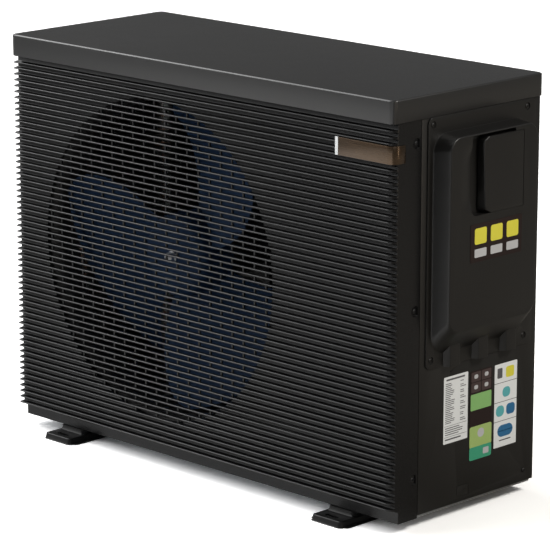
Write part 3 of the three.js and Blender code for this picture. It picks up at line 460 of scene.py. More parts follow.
for tone, colour in PRINT_COLOURS.items():
    finish(f"print_{tone}", colour, 0.45, mottle=0.03, bump=0.05)


# ---------------------------------------------------------------- lid

SHEET = 1.5


def lid():
    """Folded sheet: hollow from below, with a hemmed lower rim and rolled top edges."""
    corner = 12
    inner_corner = 5
    roll = 3.4
    hem = 0.5
    outer = (LID_X0, LID_X1, LID_Y0, LID_Y1)
    inner = rounded(*shrunk(outer, SHEET), inner_corner, 8)
    rings = [lift("z", inner, HEIGHT - SHEET), lift("z", inner, LID_BOTTOM + 0.3)]
    rows = [(1.0, LID_BOTTOM), (hem, LID_BOTTOM), (0.1, LID_BOTTOM + hem)]
    rows += [(roll * (1 - math.cos(a)), HEIGHT - roll * (1 - math.sin(a))) for a in quarter(6)]
    for inset, level in rows:
        rings.append(lift("z", rounded(*shrunk(outer, inset), corner - inset, 8), level))
    make("lid", loft(rings), "lid_paint", "top_cover", sharp=50)


# ---------------------------------------------------------------- front panel

SIDE_X = span("right_side_panel")[1]
PANEL_TOP = span("right_side_panel")[5]
FRONT_BOTTOM = span("front_panel")[4]
NOSE_Y = span("front_panel")[2]
FLANGE_REAR_Y = span("front_panel")[3]
RIB_COUNT = 60
RIB_PITCH = 11.07
FIRST_RIB_DROP = 53.2
NOSE_RADIUS = 1.5
CHANNEL_Y = 15.3  # floor of the channels between the ribs
UNDERSIDE = 0.22  # how much a rib's underside falls for each millimetre it runs back
STRIP_Y = 23  # plain strip under the last rib
WALL = 2.5
CORNER = 15
OPENING_RADIUS = 294.2
RIB_BACK_Y = 10  # the ribs that cross the opening end here

FAN_X = middle(span("fan_shroud"), 0)
FAN_Z = middle(span("fan_shroud"), 2)
FAN_AXIS = (FAN_X, 0, FAN_Z)


def rib_z(i):
    return down(FIRST_RIB_DROP + i * RIB_PITCH)


def front_levels():
    """(z, y of the front face, y of the back face) from the panel's top down to its bottom."""
    back = CHANNEL_Y + WALL
    fillet = 0.9
    fall = (CHANNEL_Y - fillet - NOSE_Y - NOSE_RADIUS) * UNDERSIDE
    levels = [(PANEL_TOP, CHANNEL_Y, back)]
    for i in range(RIB_COUNT):
        z = rib_z(i)
        for rise, forward in ((1.5, 0), (0.85, 0.35), (0.65, 1.1)):
            levels.append((z + NOSE_RADIUS + rise, CHANNEL_Y - forward, back))
        for k in range(7):
            angle = math.pi / 2 + math.pi * k / 6
            y = NOSE_Y + NOSE_RADIUS + NOSE_RADIUS * math.cos(angle)
            levels.append((z + NOSE_RADIUS * math.sin(angle), y, back))
        if i < RIB_COUNT - 1:
            for drop, forward in ((0, fillet), (0.7, 0.2), (1.3, 0)):
                levels.append((z - NOSE_RADIUS - fall - drop, CHANNEL_Y - forward, back))
    for y in (CHANNEL_Y, STRIP_Y - 1.2):
        z = rib_z(RIB_COUNT - 1) - NOSE_RADIUS - (y - NOSE_Y - NOSE_RADIUS) * UNDERSIDE
        levels.append((z, y, y + WALL))
    for level, inset in ((z - 0.9, -0.3), (z - 2.0, 0), (FRONT_BOTTOM + 0.5, 0), (FRONT_BOTTOM, 0.5)):
        levels.append((level, STRIP_Y + inset, STRIP_Y + WALL - max(inset, 0)))
    return levels


def front_ring(z, face, back):
    """Level section of the front panel: along the face, round the right corner, down both flanges."""
    left = -SIDE_X - 0.6
    centre_x = SIDE_X - CORNER
    centre_y = NOSE_Y + CORNER
    outer = [(left, FLANGE_REAR_Y), (left, face), (centre_x, face)]
    inner = [(left + WALL, FLANGE_REAR_Y), (left + WALL, back), (centre_x, back)]
    bend = CORNER - WALL
    for a in quarter(10, first=1):
        outer.append((centre_x + CORNER * math.sin(a), max(face, centre_y - CORNER * math.cos(a))))
        inner.append((centre_x + bend * math.sin(a), max(back, centre_y - bend * math.cos(a))))
    outer.append((SIDE_X, FLANGE_REAR_Y - 0.6))
    outer.append((SIDE_X - 0.6, FLANGE_REAR_Y))
    inner.append((SIDE_X - WALL, FLANGE_REAR_Y))
    return [(x, y, z) for x, y in outer + inner[::-1]]


def screw_places(stem, count):
    """(y, z) of the centres of a row of side-facing screws."""
    spans = [span(f"{stem}_{i + 1}") for i in range(count)]
    return [(middle(values, 1), middle(values, 2)) for values in spans]


SCREW_HOLE = 2.6
DRAIN_DROPS = (712.2, 715.2)


def thumb_recess(y, z):
    """D-shaped cutter for a flange screw. Its floor slopes, deepest at the flat edge to the rear."""
    radius = 9.5
    flat = 6.5
    reach = math.acos(flat / radius)
    outline = []
    for k in range(25):
        angle = reach + (2 * math.pi - 2 * reach) * k / 24
        outline.append((y + radius * math.cos(angle), z + radius * math.sin(angle)))
    floor = [(SIDE_X - 0.7 - 1.3 * (v - y + radius) / (radius + flat), v, w) for v, w in outline]
    return loft([floor, [(SIDE_X + 2, v, w) for v, w in outline]])


def front_panel():
    """Ribbed moulding with a round opening, and bosses and recesses for its flange screws."""
    rings = [front_ring(*level) for level in front_levels()]
    piece = mesh_object("front_shell", loft(rings))
    opening = rod("y", FAN_AXIS, OPENING_RADIUS, RIB_BACK_Y, 40, segments=192)
    carve(piece, opening)
    bosses = Shape()
    recesses = Shape()
    holes = Shape()
    for y, z in screw_places("front_panel_screw", 3):
        bosses.add(rod("x", (0, y, z), 11.2, SIDE_X - 6.4, SIDE_X - 1.2, segments=32))
        recesses.add(thumb_recess(y, z))
        holes.add(rod("x", (0, y, z), SCREW_HOLE, SIDE_X - 9, SIDE_X + 1, segments=20))
    join(piece, bosses)
    carve(piece, recesses)
    drains = Shape()
    for x in (-399, 300):
        drains.add(box(x - 3, x + 3, STRIP_Y - 5, STRIP_Y + 1.6, down(DRAIN_DROPS[1]), down(DRAIN_DROPS[0])))
    carve(piece, holes, drains)
    settle(piece, "front_plastic", "front_panel", sharp=38)


TIE_PITCH = 55.9  # between ties in one row
FIRST_TIE_X = -160.3
TIE_HALF_WIDTH = 1.6


def grille_ties():
    """Short ties between neighbouring ribs across the opening, staggered from row to row."""
    shape = Shape()
    for i in range(2, RIB_COUNT - 1):
        top = rib_z(i) - 0.7
        bottom = rib_z(i + 1) + 0.7
        height = (top + bottom) / 2 - FAN_Z
        if abs(height) > OPENING_RADIUS - 3:
            continue
        half = math.sqrt(OPENING_RADIUS ** 2 - height ** 2) - 2.5
        start = FIRST_TIE_X + (TIE_PITCH / 2 if i % 2 else 0)
        for n in range(-8, 10):
            x = start + n * TIE_PITCH
            if abs(x - FAN_X) < half:
                shape.add(box(x - TIE_HALF_WIDTH, x + TIE_HALF_WIDTH, 9.2, 13, bottom, top))
    make("grille_ties", shape, "front_plastic")


# ---------------------------------------------------------------- side panels and rear

SIDE_FRONT, REAR_Y, SIDE_BOTTOM = span("right_side_panel")[2:5]


def right_side_panel():
    """Folded sheet with a window behind the service cover, a screw dimple and an unpunched knockout."""
    inner = SIDE_X - SHEET
    rear_lip = 462
    outline = eased([
        (SIDE_X, SIDE_FRONT, 0), (SIDE_X, REAR_Y, 3.5), (rear_lip, REAR_Y, 0), (rear_lip, REAR_Y - SHEET, 0),
        (inner, REAR_Y - SHEET, 2), (inner, SIDE_FRONT, 0),
    ], closed=True, steps=6)
    piece = mesh_object("side_wall", prism("z", outline, SIDE_BOTTOM, PANEL_TOP))
    through = (SIDE_X - 5, SIDE_X + 5)
    window = slab("x", (112, 324, down(430), down(84)), 12, *through)
    y, z = middle(span("side_panel_screw"), 1), middle(span("side_panel_screw"), 2)
    dimple = turned("x", (SIDE_X, y, z), [(0, -0.9), (3.2, -0.9), (8.2, 0.4), (8.2, 3), (0, 3)], 48)
    small = Shape(rod("x", (0, y, z), SCREW_HOLE, *through, segments=24))
    small.add(rod("x", (0, 152.6, down(488.6)), 1.1, *through, segments=16))
    y0, y1, z0, z1 = 172.8, 203, down(719), down(698.9)
    groove = 0.8
    cut = (SIDE_X - 0.7, SIDE_X + 1)
    ends = Shape(box(*cut, y0, y1, z0, z0 + groove), box(*cut, y0, y1, z1 - groove, z1))
    sides = Shape(
        box(*cut, y0 - 0.1, y0 + groove, z0 + 3, z1 + 0.1),
        box(*cut, y1 - groove, y1 + 0.1, z0 - 0.1, z1 - 3),
    )
    carve(piece, window, dimple, small, ends, sides)
    ease_edges(piece, 0.35)
    settle(piece, "side_paint", "right_side_panel")


def left_side_panel():
    """Plain wall with three columns of round-ended air slots."""
    x0, x1, y0, y1, z0, z1 = span("left_side_panel")
    piece = mesh_object("left_wall", box(x0, x1, y0, y1, z0, z1))
    slots = Shape()
    columns = 3
    rows = 38
    margin = 30
    gap = 16
    width = (y1 - y0 - 2 * margin - gap * (columns - 1)) / columns
    pitch = (z1 - z0 - 2 * margin) / rows
    for column in range(columns):
        for row in range(rows):
            u = y0 + margin + column * (width + gap)
            v = z0 + margin + row * pitch + pitch * 0.2
            outline = rounded(u, u + width, v, v + pitch * 0.6, pitch * 0.28, 4)
            slots.add(prism("x", outline, x0 - 2, x1 + 2))
    carve(piece, slots)
    settle(piece, "side_paint", "left_side_panel")


def rear_coil_guard():
    """Welded wire guard over the coil, in a sheet-metal rim."""
    x0, x1, y0, y1, z0, z1 = span("rear_coil_guard")
    rim = 24
    piece = mesh_object("coil_guard_rim", box(x0, x1, y0, y1, z0, z1))
    carve(piece, slab("y", (x0 + rim, x1 - rim, z0 + rim, z1 - rim), 8, y0 - 2, y1 + 2))
    ease_edges(piece, 0.3)
    settle(piece, "side_paint", "rear_coil_guard")
    wires = Shape()
    wire = 1.3
    y = (y0 + y1) / 2 - 0.6
    columns = 27
    for k in range(1, columns):
        x = x0 + rim + (x1 - x0 - 2 * rim) * k / columns
        wires.add(rod("z", (x, y, 0), wire, z0 + rim - 6, z1 - rim + 6, segments=10))
    rows = 8
    for k in range(1, rows):
        z = z0 + rim + (z1 - z0 - 2 * rim) * k / rows
        wires.add(rod("x", (0, y - 2 * wire + 0.2, z), wire, x0 + rim - 6, x1 - rim + 6, segments=10))
    make("coil_guard_wires", wires, "side_paint")


UNIONS = {"inlet": middle(span("inlet_union"), 2), "outlet": middle(span("outlet_union"), 2)}
UNION_X = middle(span("inlet_union"), 0)


def rear_panel():
    """Wall behind the service side, with collared holes for the unions and a row of vents."""
    x0, x1, y0, y1, z0, z1 = span("rear_panel")
    piece = mesh_object("rear_wall", box(x0, x1, y0, y1, z0, z1))
    holes = Shape()
    rings = Shape()
    for z in UNIONS.values():
        holes.add(rod("y", (UNION_X, 0, z), 27, y0 - 3, y1 + 3, segments=64))
        collar = [(33, -0.8), (33, 0.2), (35, 1.2), (39, 1.2), (42, 0.2), (42, -0.8)]
        rings.add(turned("y", (UNION_X, y1, z), collar, 64))
    join(piece, rings)
    carve(piece, holes)
    vents = Shape()
    for k in range(9):
        z = down(96 + 13 * k)
        vents.add(prism("y", rounded(x0 + 50, x1 - 50, z - 2.4, z + 2.4, 2.3, 4), y0 - 3, y1 + 3))
    carve(piece, vents)
    ease_edges(piece, 0.25)
    settle(piece, "side_paint", "rear_panel")


def base_pan():
    """Open tray with a drain hole."""
    *rect, z0, z1 = span("base_pan")
    wall = 2
    rows = [(0.6, z0, 6), (0, z0 + 0.8, 6), (0, z1, 6), (wall, z1, 4), (wall, z0 + wall, 4)]
    rings = [lift("z", rounded(*shrunk(rect, inset), radius, 6), level) for inset, level, radius in rows]
    piece = mesh_object("base_tray", loft(rings))
    carve(piece, rod("z", (-100, 200, 0), 10, z0 - 5, z0 + 8, segments=32))
    settle(piece, "galvanised_steel", "base_pan")


# ---------------------------------------------------------------- feet


def foot(node):
    """Pressed channel with a bolting pad at each end: low pads, and a raised middle under the base."""
    x0, x1, y0, y1, _, z1 = span(node)
    left, right = x0 + 8, x1 - 8
    pad = 11.5
    draft = 1.7
    fillet = 2.4
    pads = [(-1.5, 0), (-0.6, 0.5), (0, 1.6), (draft, pad - fillet)]
    for a in quarter(5, first=1):
        pads.append((draft + fillet * (1 - math.cos(a)), pad - fillet * (1 - math.sin(a))))
    rise = []
    for k in range(9):
        t = k / 8
        ease = (1 - math.cos(math.pi * t)) / 2
        rise.append((2.2 + 5.5 * (1 - (1 - t) ** 2), pad - 1.5 + (z1 - pad + 1.5) * ease))

    def stack(rows, ends):
        rect = (left, right, y0 + ends, y1 - ends)
        return loft([lift("z", rounded(*shrunk(rect, i), 7.5 - min(i, 3), 8), level) for i, level in rows])

    piece = mesh_object(f"{node}_pressing", stack(pads, 1.6))
    flange = slab("z", (x0, x1, y0 + 9, y1 - 9), 7, 0, 1.5, high_edge=0.6)
    join(piece, stack(rise, 33), flange)
    wall = 2.8
    inside = (left + wall, right - wall, y0 + 5, y1 - 5)
    hollow = loft([
        lift("z", rounded(*inside, 5, 6), -1),
        lift("z", rounded(*shrunk(inside, 1.5), 5, 6), pad - wall),
    ])
    slots = Shape()
    x = (left + right) / 2
    for y in (y0 + 18, y1 - 18):
        slots.add(prism("z", rounded(x - 15, x + 15, y - 4.5, y + 4.5, 4.45, 8), -2, 20))
    carve(piece, hollow, slots)
    settle(piece, "foot_paint", node, sharp=36)


# ---------------------------------------------------------------- service cover

COVER_X, FACE_X = span("service_cover")[:2]
FLANGE_RECT = (85.5, 361, down(475), down(40.4))
# The door's pocket. top, slot_top and bottom are drops. A narrow slot runs over the door's top.
POCKET = {"y0": 157, "y1": 290.5, "slot_top": 75.5, "top": 81.2, "bottom": 213.8, "slot_end": 268}
POCKET_DEPTH = 17
TUNNELS = [148, 221, 294]


def cover_block(inset, low, high):
    """The raised part of the service cover: drafted walls, a soft rim and a sloping lower end."""
    base = (97, 337, down(451), down(70))
    face = (104, 326, down(408), down(73))
    base_radius, face_radius = 34, 24
    fillet = 2.0
    flare = 1.6
    wall_end = 0.88
    rows = [(0.1 * (k / 4) ** 2, -flare * (1 - k / 4) ** 2) for k in range(5)]
    rows += [(0.1 + 0.78 * k / 6, 0) for k in range(1, 7)]
    for a in quarter(8, first=1):
        rows.append((wall_end + (1 - wall_end) * math.sin(a), fillet * (1 - math.cos(a))))
    rings = []
    for t, shrink in rows:
        rect = [b + (f - b) * t for b, f in zip(base, face)]
        radius = base_radius + (face_radius - base_radius) * t - (shrink + inset) / 2
        rings.append(lift("x", rounded(*shrunk(rect, shrink + inset), radius, 12), low + (high - low) * t))
    return loft(rings)


def tunnel(centre, grow, top, bottom):
    """Hood over a cable entry, seen from below as a rounded trapezium."""
    crest = SIDE_X + 14 + grow
    base = COVER_X - (1 if grow else 0)
    half = [(base, 19.5 + grow, 0), (base + 3.4, 18.7 + grow, 0.8), (crest, 12 + grow * 0.8, 1.2)]
    outline = [(x, centre - reach, r) for x, reach, r in half]
    outline += [(x, centre + reach, r) for x, reach, r in reversed(half)]
    return prism("z", eased(outline, closed=True, steps=5), down(bottom), down(top))


def finger_scoop():
    """Cutter for the shallow dish beside the door: it deepens towards the door's groove."""
    columns = 18
    rows = 36
    y0, y1 = 119, 158.5
    dish_start, dish_end = 123, 157
    top, bottom = 84, 212
    run_out = 34
    depth = 6.2
    rings = []
    for i in range(rows + 1):
        drop = top + (bottom - top) * i / rows
        ends = min(1, (drop - top) / run_out, (bottom - drop) / run_out)
        window = (1 - math.cos(math.pi * max(0, ends))) / 2
        ring = [(FACE_X + 6, y1, down(drop)), (FACE_X + 6, y0, down(drop))]
        for j in range(columns + 1):
            y = y0 + (y1 - y0) * j / columns
            across = max(0, (y - dish_start) / (dish_end - dish_start))
            ring.append((FACE_X + 0.25 - depth * window * across ** 1.8, y, down(drop)))
        rings.append(ring)
    return loft(rings)


def service_cover():
    """Moulding with a thin wall: flange, raised block, cable hoods, finger dish and door pocket."""
    flange_x = COVER_X + 3
    floor_x = FACE_X - POCKET_DEPTH
    wall = 2.6
    piece = mesh_object("cover_shell", slab("x", FLANGE_RECT, 12, COVER_X, flange_x, high_edge=0.9, steps=8))
    join(piece, cover_block(0, flange_x - 0.6, FACE_X))
    for centre in TUNNELS:
        join(piece, tunnel(centre, 0, 424, 474.9))
    carve(piece, cover_block(wall, COVER_X - 0.9, floor_x - wall))
    carve(piece, Shape(*[tunnel(centre, -wall, 432, 477) for centre in TUNNELS]), finger_scoop())

    left, right = POCKET["y0"], POCKET["y1"]
    bottom, top, slot_top = down(POCKET["bottom"]), down(POCKET["top"]), down(POCKET["slot_top"])
    pocket = eased([
        (left, bottom, 13), (right, bottom, 2), (right, top, 2), (POCKET["slot_end"], top, 0),
        (POCKET["slot_end"], slot_top, 1.5), (left, slot_top, 4),
    ], closed=True, steps=8)
    carve(piece, prism("x", pocket, floor_x, FACE_X + 8))

    sinks = Shape()
    shafts = Shape()
    for y, z in screw_places("cover_screw", 4):
        sinks.add(turned("x", (flange_x, y, z), [(0, -1.5), (6.1, -1.5), (6.7, 0.3), (6.7, 4), (0, 4)], 40))
        shafts.add(rod("x", (0, y, z), 2.4, COVER_X - 2, flange_x + 1, segments=20))
    carve(piece, sinks, shafts)

    axis_x, axis_y, _ = frame_joint("controller_door_hinge")
    barrel = 5.5
    turning = []
    for k in range(32):
        a = 2 * math.pi * k / 32
        turning.append((min(axis_x + barrel * math.cos(a), FACE_X - 1), axis_y + barrel * math.sin(a)))
    pin_holes = rod("z", (axis_x, axis_y, 0), 2.1, down(218), down(77.4), segments=24)
    cable = box(floor_x - 6, floor_x + 1, 226, 246, down(140), down(120))
    carve(piece, prism("z", turning, bottom, top), pin_holes, cable)
    settle(piece, "cover_plastic", "service_cover", sharp=28)


def frame_joint(name):
    """A hinge's point in millimetres in the cabinet's frame."""
    joint = next(j for j in frame["joints"] if j["name"] == name)
    return (Vector(joint["pos_m"]) - ORIGIN) / MM


def controller_door():
    """Hinged leaf: front edge leans back as it goes down, rear edge rolls round the hinge pins."""
    x0, x1, y0 = span("controller_door")[:3]
    axis_x, axis_y, _ = frame_joint("controller_door_hinge")
    barrel = x1 - axis_x
    bottom = down(POCKET["bottom"] - 0.35)
    top = down(POCKET["top"] + 0.7)
    lean = 7
    corner = 11
    front_roll = 3.4
    rear_roll = 1.2
    inner_y = 279
    rows = 24
    rings = []
    for i in range(rows + 1):
        t = i / rows
        z = top + (bottom - top) * t
        near = min(top - z, z - bottom, corner)
        round_off = corner - math.sqrt(max(0, corner ** 2 - (corner - near) ** 2))
        shoulder = y0 + 0.4 + lean * t + round_off
        base = y0 + 2 + round_off * 0.75
        outline = [(x0, base), (x0 + 1, base - 0.2)]
        for a in quarter(5):
            outline.append((x1 - front_roll * (1 - math.sin(a)), shoulder + front_roll * (1 - math.cos(a))))
        for a in quarter(4):
            y = axis_y + barrel - rear_roll * (1 - math.sin(a))
            outline.append((x1 - rear_roll * (1 - math.cos(a)), y))
        for a in quarter(6):
            outline.append((axis_x - barrel * math.sin(a), axis_y + barrel * math.cos(a)))
        outline += [(axis_x - barrel, inner_y), (x0, inner_y)]
        rings.append([(x, y, z) for x, y in outline])
    piece = mesh_object("door_leaf", loft(rings))
    carve(piece, slab("x", (198, 281, bottom + 3, top - 3), 3, x0 - 3, x1 - 2.6))
    ease_edges(piece, 0.6, 3, angle=50)
    pins = rod("z", (axis_x, axis_y, 0), 1.6, down(217.4), down(78), edge=0.3, segments=24)
    join(piece, pins)
    settle(piece, "cover_plastic", "controller_door", body="controller_door", sharp=30)


def controller():
    """Controller case with a well for each key, the keys' caps and the display's window."""
    x0, x1, *rect = span("controller_unit")
    piece = mesh_object("controller_case", slab("x", rect, 5, x0, x1, high_edge=1.2))
    keys = {key: span(key) for key in ("key_power", "key_mode", "key_up", "key_down")}
    wells = [slab("x", shrunk(values[2:], -0.35), 1.9, x0 + 2.5, x1 + 1) for values in keys.values()]
    carve(piece, Shape(*wells))
    settle(piece, "dark_plastic", "controller_unit")
    for key, values in keys.items():
        cap = slab("x", values[2:], 1.6, *values[:2], high_edge=0.9)
        make(f"{key}_cap", cap, "key_rubber", key, body=key)
    x0, x1, *rect = span("display_window")
    make("display_glass", slab("x", rect, 2.5, x0, x1, high_edge=0.4), "display_gloss", "display_window")


# ---------------------------------------------------------------- trim, labels, screws


def trim_strip():
    """Thin band that follows the front panel's round corner, with a pale bar at its front end."""
    x0, _, _, y1, z0, z1 = span("trim_strip")
    centre_x = SIDE_X - CORNER
    centre_y = NOSE_Y + CORNER
    inner = CORNER + 0.3
    outer = inner + 1.25

    def bent(radius):
        arc = [(centre_x + radius * math.sin(a), centre_y - radius * math.cos(a)) for a in quarter(14)]
        return [(x0, centre_y - radius)] + arc + [(centre_x + radius, y1)]

    piece = mesh_object("trim_band", prism("z", bent(outer) + bent(inner)[::-1], z0, z1))
    ease_edges(piece, 0.3, angle=60)
    settle(piece, "bronze_trim", "trim_strip")
    rect = shrunk((x0, x0 + 6.3, z0, z1), -0.1)
    make("trim_end_bar", slab("y", rect, 0.4, centre_y - outer - 0.25, centre_y - inner + 0.2), "white_label")


PRINT = 0.12  # how far the printed patches stand proud of a sticker's film


def label(name, node, looks, prints):
    """Stuck-on film with printed patches. A print is (look, y0, y1, drop0, drop1, corner)."""
    x0, x1, y0, y1, z0, z1 = span(node)
    face = x1 - 0.15
    shape = Shape(slab("x", (y0, y1, z0, z1), 1.5, x0, face, high_edge=0.1, fillet=1))
    for look, u0, u1, v0, v1, corner in prints:
        rect = (y0 + u0 * (y1 - y0), y0 + u1 * (y1 - y0), z1 - v1 * (z1 - z0), z1 - v0 * (z1 - z0))
        patch = prism("x", rounded(*rect, corner, 8), face - 0.15, face + PRINT * (1 + 0.3 * look))
        shape.add(patch, look)
    make(name, shape, looks[0], node, looks=looks)


def warning_label():
    prints = []
    for k in range(3):
        u = 0.08 + 0.31 * k
        prints += [(1, u, u + 0.23, 0.12, 0.54, 4), (2, u, u + 0.23, 0.66, 0.88, 2)]
    label("caution_film", "warning_label", ["brown_label", "print_yellow", "print_silver"], prints)


def rating_plate():
    """Rows of short bars in two columns, ruled off from a foot."""
    rng = random.Random(4)
    prints = [(1, 0.1, 0.86, 0.035, 0.06, 0.5)]
    for k in range(22):
        v = 0.1 + 0.028 * k
        prints.append((1, 0.07, 0.25 + 0.22 * rng.random(), v, v + 0.011, 0.4))
        if k % 3 != 1:
            prints.append((1, 0.68, 0.8 + 0.12 * rng.random(), v, v + 0.011, 0.4))
    prints += [(1, 0.04, 0.96, v, v + 0.005, 0.2) for v in (0.735, 0.9)]
    for k in range(4):
        v = 0.765 + 0.032 * k
        prints.append((1, 0.07, 0.4 + 0.45 * rng.random(), v, v + 0.012, 0.4))
    prints.append((1, 0.07, 0.72, 0.93, 0.95, 0.4))
    label("rating_film", "rating_plate", ["white_label", "print_grey"], prints)


def energy_label():
    """Four plain tiles over three plain coloured bands."""
    looks = ["brown_label", "print_plum", "print_green", "print_lime", "print_teal", "print_silver"]
    prints = []
    for row in range(2):
        for column in range(2):
            u = 0.05 + 0.47 * column
            v = 0.015 + 0.117 * row
            prints += [(1, u, u + 0.43, v, v + 0.108, 2), (5, u + 0.13, u + 0.3, v + 0.03, v + 0.075, 3)]
    prints += [
        (2, 0.03, 0.97, 0.26, 0.44, 2), (3, 0, 1, 0.62, 0.86, 4), (5, 0.36, 0.66, 0.655, 0.755, 8),
        (4, 0, 1, 0.85, 0.995, 4), (5, 0.62, 0.88, 0.885, 0.955, 2),
    ]
    label("tile_film", "energy_label", looks, prints)


def safety_label():
    """Four ruled rows of blank tiles."""
    looks = ["white_label", "print_grey", "print_yellow", "print_aqua", "print_blue"]
    prints = [(1, 0, 1, v, v + 0.006, 0.2) for v in (0.225, 0.455, 0.685)]
    prints += [
        (1, 0.12, 0.34, 0.05, 0.17, 2), (2, 0.5, 0.86, 0.05, 0.18, 4), (3, 0.36, 0.7, 0.29, 0.41, 8),
        (3, 0.08, 0.44, 0.5, 0.63, 9), (4, 0.54, 0.92, 0.5, 0.63, 7), (4, 0.16, 0.84, 0.74, 0.88, 11),
        (1, 0.24, 0.76, 0.915, 0.928, 0.5),
    ]
    label("notice_film", "safety_label", looks, prints)


def screw_mesh(socket):
    """Pan-head screw with a hexagonal socket or a cross recess, its top at x = 0, pointing towards -x."""
    head = [(0, 0), (1.2, -0.02), (2.6, -0.22), (3.6, -0.7), (4.1, -1.3), (4.2, -1.6)]
    shank = [(2.0, -1.6), (2.0, -10), (1.2, -11), (0, -11)]
    piece = mesh_object("screw_blank", turned("x", (0, 0, 0), head + shank, 32))
    if socket:
        carve(piece, rod("x", (0, 0, 0), 2.3, -1.3, 1, segments=6))
    else:
        carve(piece, box(-1.1, 1, -2.2, 2.2, -0.42, 0.42), box(-1.1, 1, -0.42, 0.42, -2.2, 2.2))
    mesh = piece.data
    for vertex in mesh.vertices:
        vertex.co -= ORIGIN
    bpy.data.objects.remove(piece, do_unlink=True)
    return mesh


def screws():
    """The casing's screws share two meshes, and the side panel's has a shorter shank."""
    meshes = {"cover_screw": screw_mesh(False), "front_panel_screw": screw_mesh(True)}
    groups = [("cover_screw", 4, "cover_plastic"), ("front_panel_screw", 3, "black_steel")]
    nodes = [(f"{stem}_{i + 1}", look) for stem, count, look in groups for i in range(count)]
    nodes.append(("side_panel_screw", "side_paint"))
    for node, look in nodes:
        values = span(node)
        copy = meshes.get(node[:-2], meshes["cover_screw"]).copy()
        if node == "side_panel_screw":
            for vertex in copy.vertices:
                vertex.co.x = max(vertex.co.x, (values[0] - values[1]) * MM)
        piece = bpy.data.objects.new(f"{node}_head", copy)
        bpy.context.scene.collection.objects.link(piece)
        piece.location = ORIGIN + Vector((values[1], middle(values, 1), middle(values, 2))) * MM
        settle(piece, "black_steel", node, looks=[look], sharp=40)


# ---------------------------------------------------------------- fan side

HUB_RADIUS = 77
FAN_RADIUS = 278
BLADE_ROOT = HUB_RADIUS - 4
BLADE_MIDDLE_Y = 106
BLADE_RISE = (54, 130)
BLADE_THICKNESS = (3.2, 2)
BLADE_SPREAD = 1.45
BLADE_SWEEP = 0.36
BLADE_BOW = 2.5
FIRST_BLADE = 1
SHAFT_RADIUS = 6
SHAFT_HOLE = 6.3


def blade(angle):
    """One blade of the fan: curved, pitched, thinner towards its tip and with round tip corners."""
    along_steps = 20
    across_steps = 30
    corner = 26
    rings = []
    for i in range(along_steps + 1):
        along = i / along_steps
        radius = BLADE_ROOT + (FAN_RADIUS - BLADE_ROOT) * along
        rise = BLADE_RISE[0] + (BLADE_RISE[1] - BLADE_RISE[0]) * along
        thick = BLADE_THICKNESS[0] + (BLADE_THICKNESS[1] - BLADE_THICKNESS[0]) * along
        near_tip = max(0, corner - (FAN_RADIUS - radius))
        trim = (corner - math.sqrt(corner ** 2 - near_tip ** 2)) / radius
        faces = []
        for face in (-1, 1):
            row = []
            for j in range(across_steps + 1):
                across = j / across_steps - 0.5
                theta = angle + BLADE_SWEEP * along ** 2 + (BLADE_SPREAD - 2 * trim) * across
                bow = BLADE_BOW * (1 - 4 * across ** 2)
                edge = math.sqrt(max(0.05, 1 - (2 * abs(across)) ** 10))
                y = BLADE_MIDDLE_Y + rise * across - bow + face * thick / 2 * edge
                row.append((FAN_X + radius * math.cos(theta), y, FAN_Z + radius * math.sin(theta)))
            faces.append(row)
        rings.append(faces[0] + faces[1][::-1])
    return loft(rings)


def turned_about(x, z, angle, corners):
    """Corners drawn about a point, turned by an angle, as (x, z)."""
    c, s = math.cos(angle), math.sin(angle)
    return [(x + u * c - v * s, z + u * s + v * c) for u, v in corners]


def fan():
    """Wheel with a hollow ribbed hub and three blades, its nut and the motor's shaft."""
    hub = eased([
        (0.001, 57, 0), (66, 57, 0), (HUB_RADIUS, 66, 9), (HUB_RADIUS, 135, 0), (HUB_RADIUS - 3.5, 135, 0),
        (HUB_RADIUS - 3.5, 68, 4), (64, 60.5, 4), (14, 60.5, 0), (14, 130, 0), (0.001, 130, 0),
    ], 6, steps=4)
    profile = [(0, 57)] + [p for p in hub if p[0] > 0.5] + [(0, 112)]
    piece = mesh_object("fan_wheel", turned("y", FAN_AXIS, profile, 72))
    ribs = Shape()
    for k in range(6):
        outline = turned_about(FAN_X, FAN_Z, k * math.pi / 3, [(12, -1.2), (53, -1.2), (53, 1.2), (12, 1.2)])
        ribs.add(prism("y", outline, 60, 104))
    join(piece, ribs)
    for k in range(3):
        join(piece, blade(FIRST_BLADE + k * 2 * math.pi / 3))
    carve(piece, rod("y", FAN_AXIS, SHAFT_HOLE, 40, 130, segments=32))
    settle(piece, "navy_plastic", "fan_blade", body="fan", sharp=40)

    y0, y1 = span("fan_nut")[2:4]
    reach = 9.5
    angles = [k * math.pi / 3 for k in range(6)]
    hexagon = [(FAN_X + reach * math.cos(a), FAN_Z + reach * math.sin(a)) for a in angles]
    nut = mesh_object("fan_nut_hex", prism("y", hexagon, y0, y1 - 2))
    join(nut, rod("y", FAN_AXIS, 11, y1 - 2.2, y1, edge=0.4, segments=48))
    carve(nut, rod("y", FAN_AXIS, SHAFT_HOLE, y0 - 3, y1 + 3, segments=32))
    ease_edges(nut, 0.5)
    settle(nut, "bright_steel", "fan_nut", body="fan")
    shaft = rod("y", FAN_AXIS, SHAFT_RADIUS, *span("fan_shaft")[2:4], edge=1, segments=32)
    make("fan_shaft_bar", shaft, "bright_steel", "fan_shaft", body="fan")


def shroud():
    """Bell mouth round the fan."""
    outline = eased([
        (308, 26.5, 0), (308, 29, 0), (294, 35, 9), (288.5, 46, 8), (288.5, 85, 0),
        (286, 85, 0), (286, 45, 8), (292, 33, 9), (300, 26.5, 3),
    ], closed=True, steps=5)
    make("shroud_ring", turned("y", FAN_AXIS, outline, 144), "dark_plastic", "fan_shroud", sharp=45)


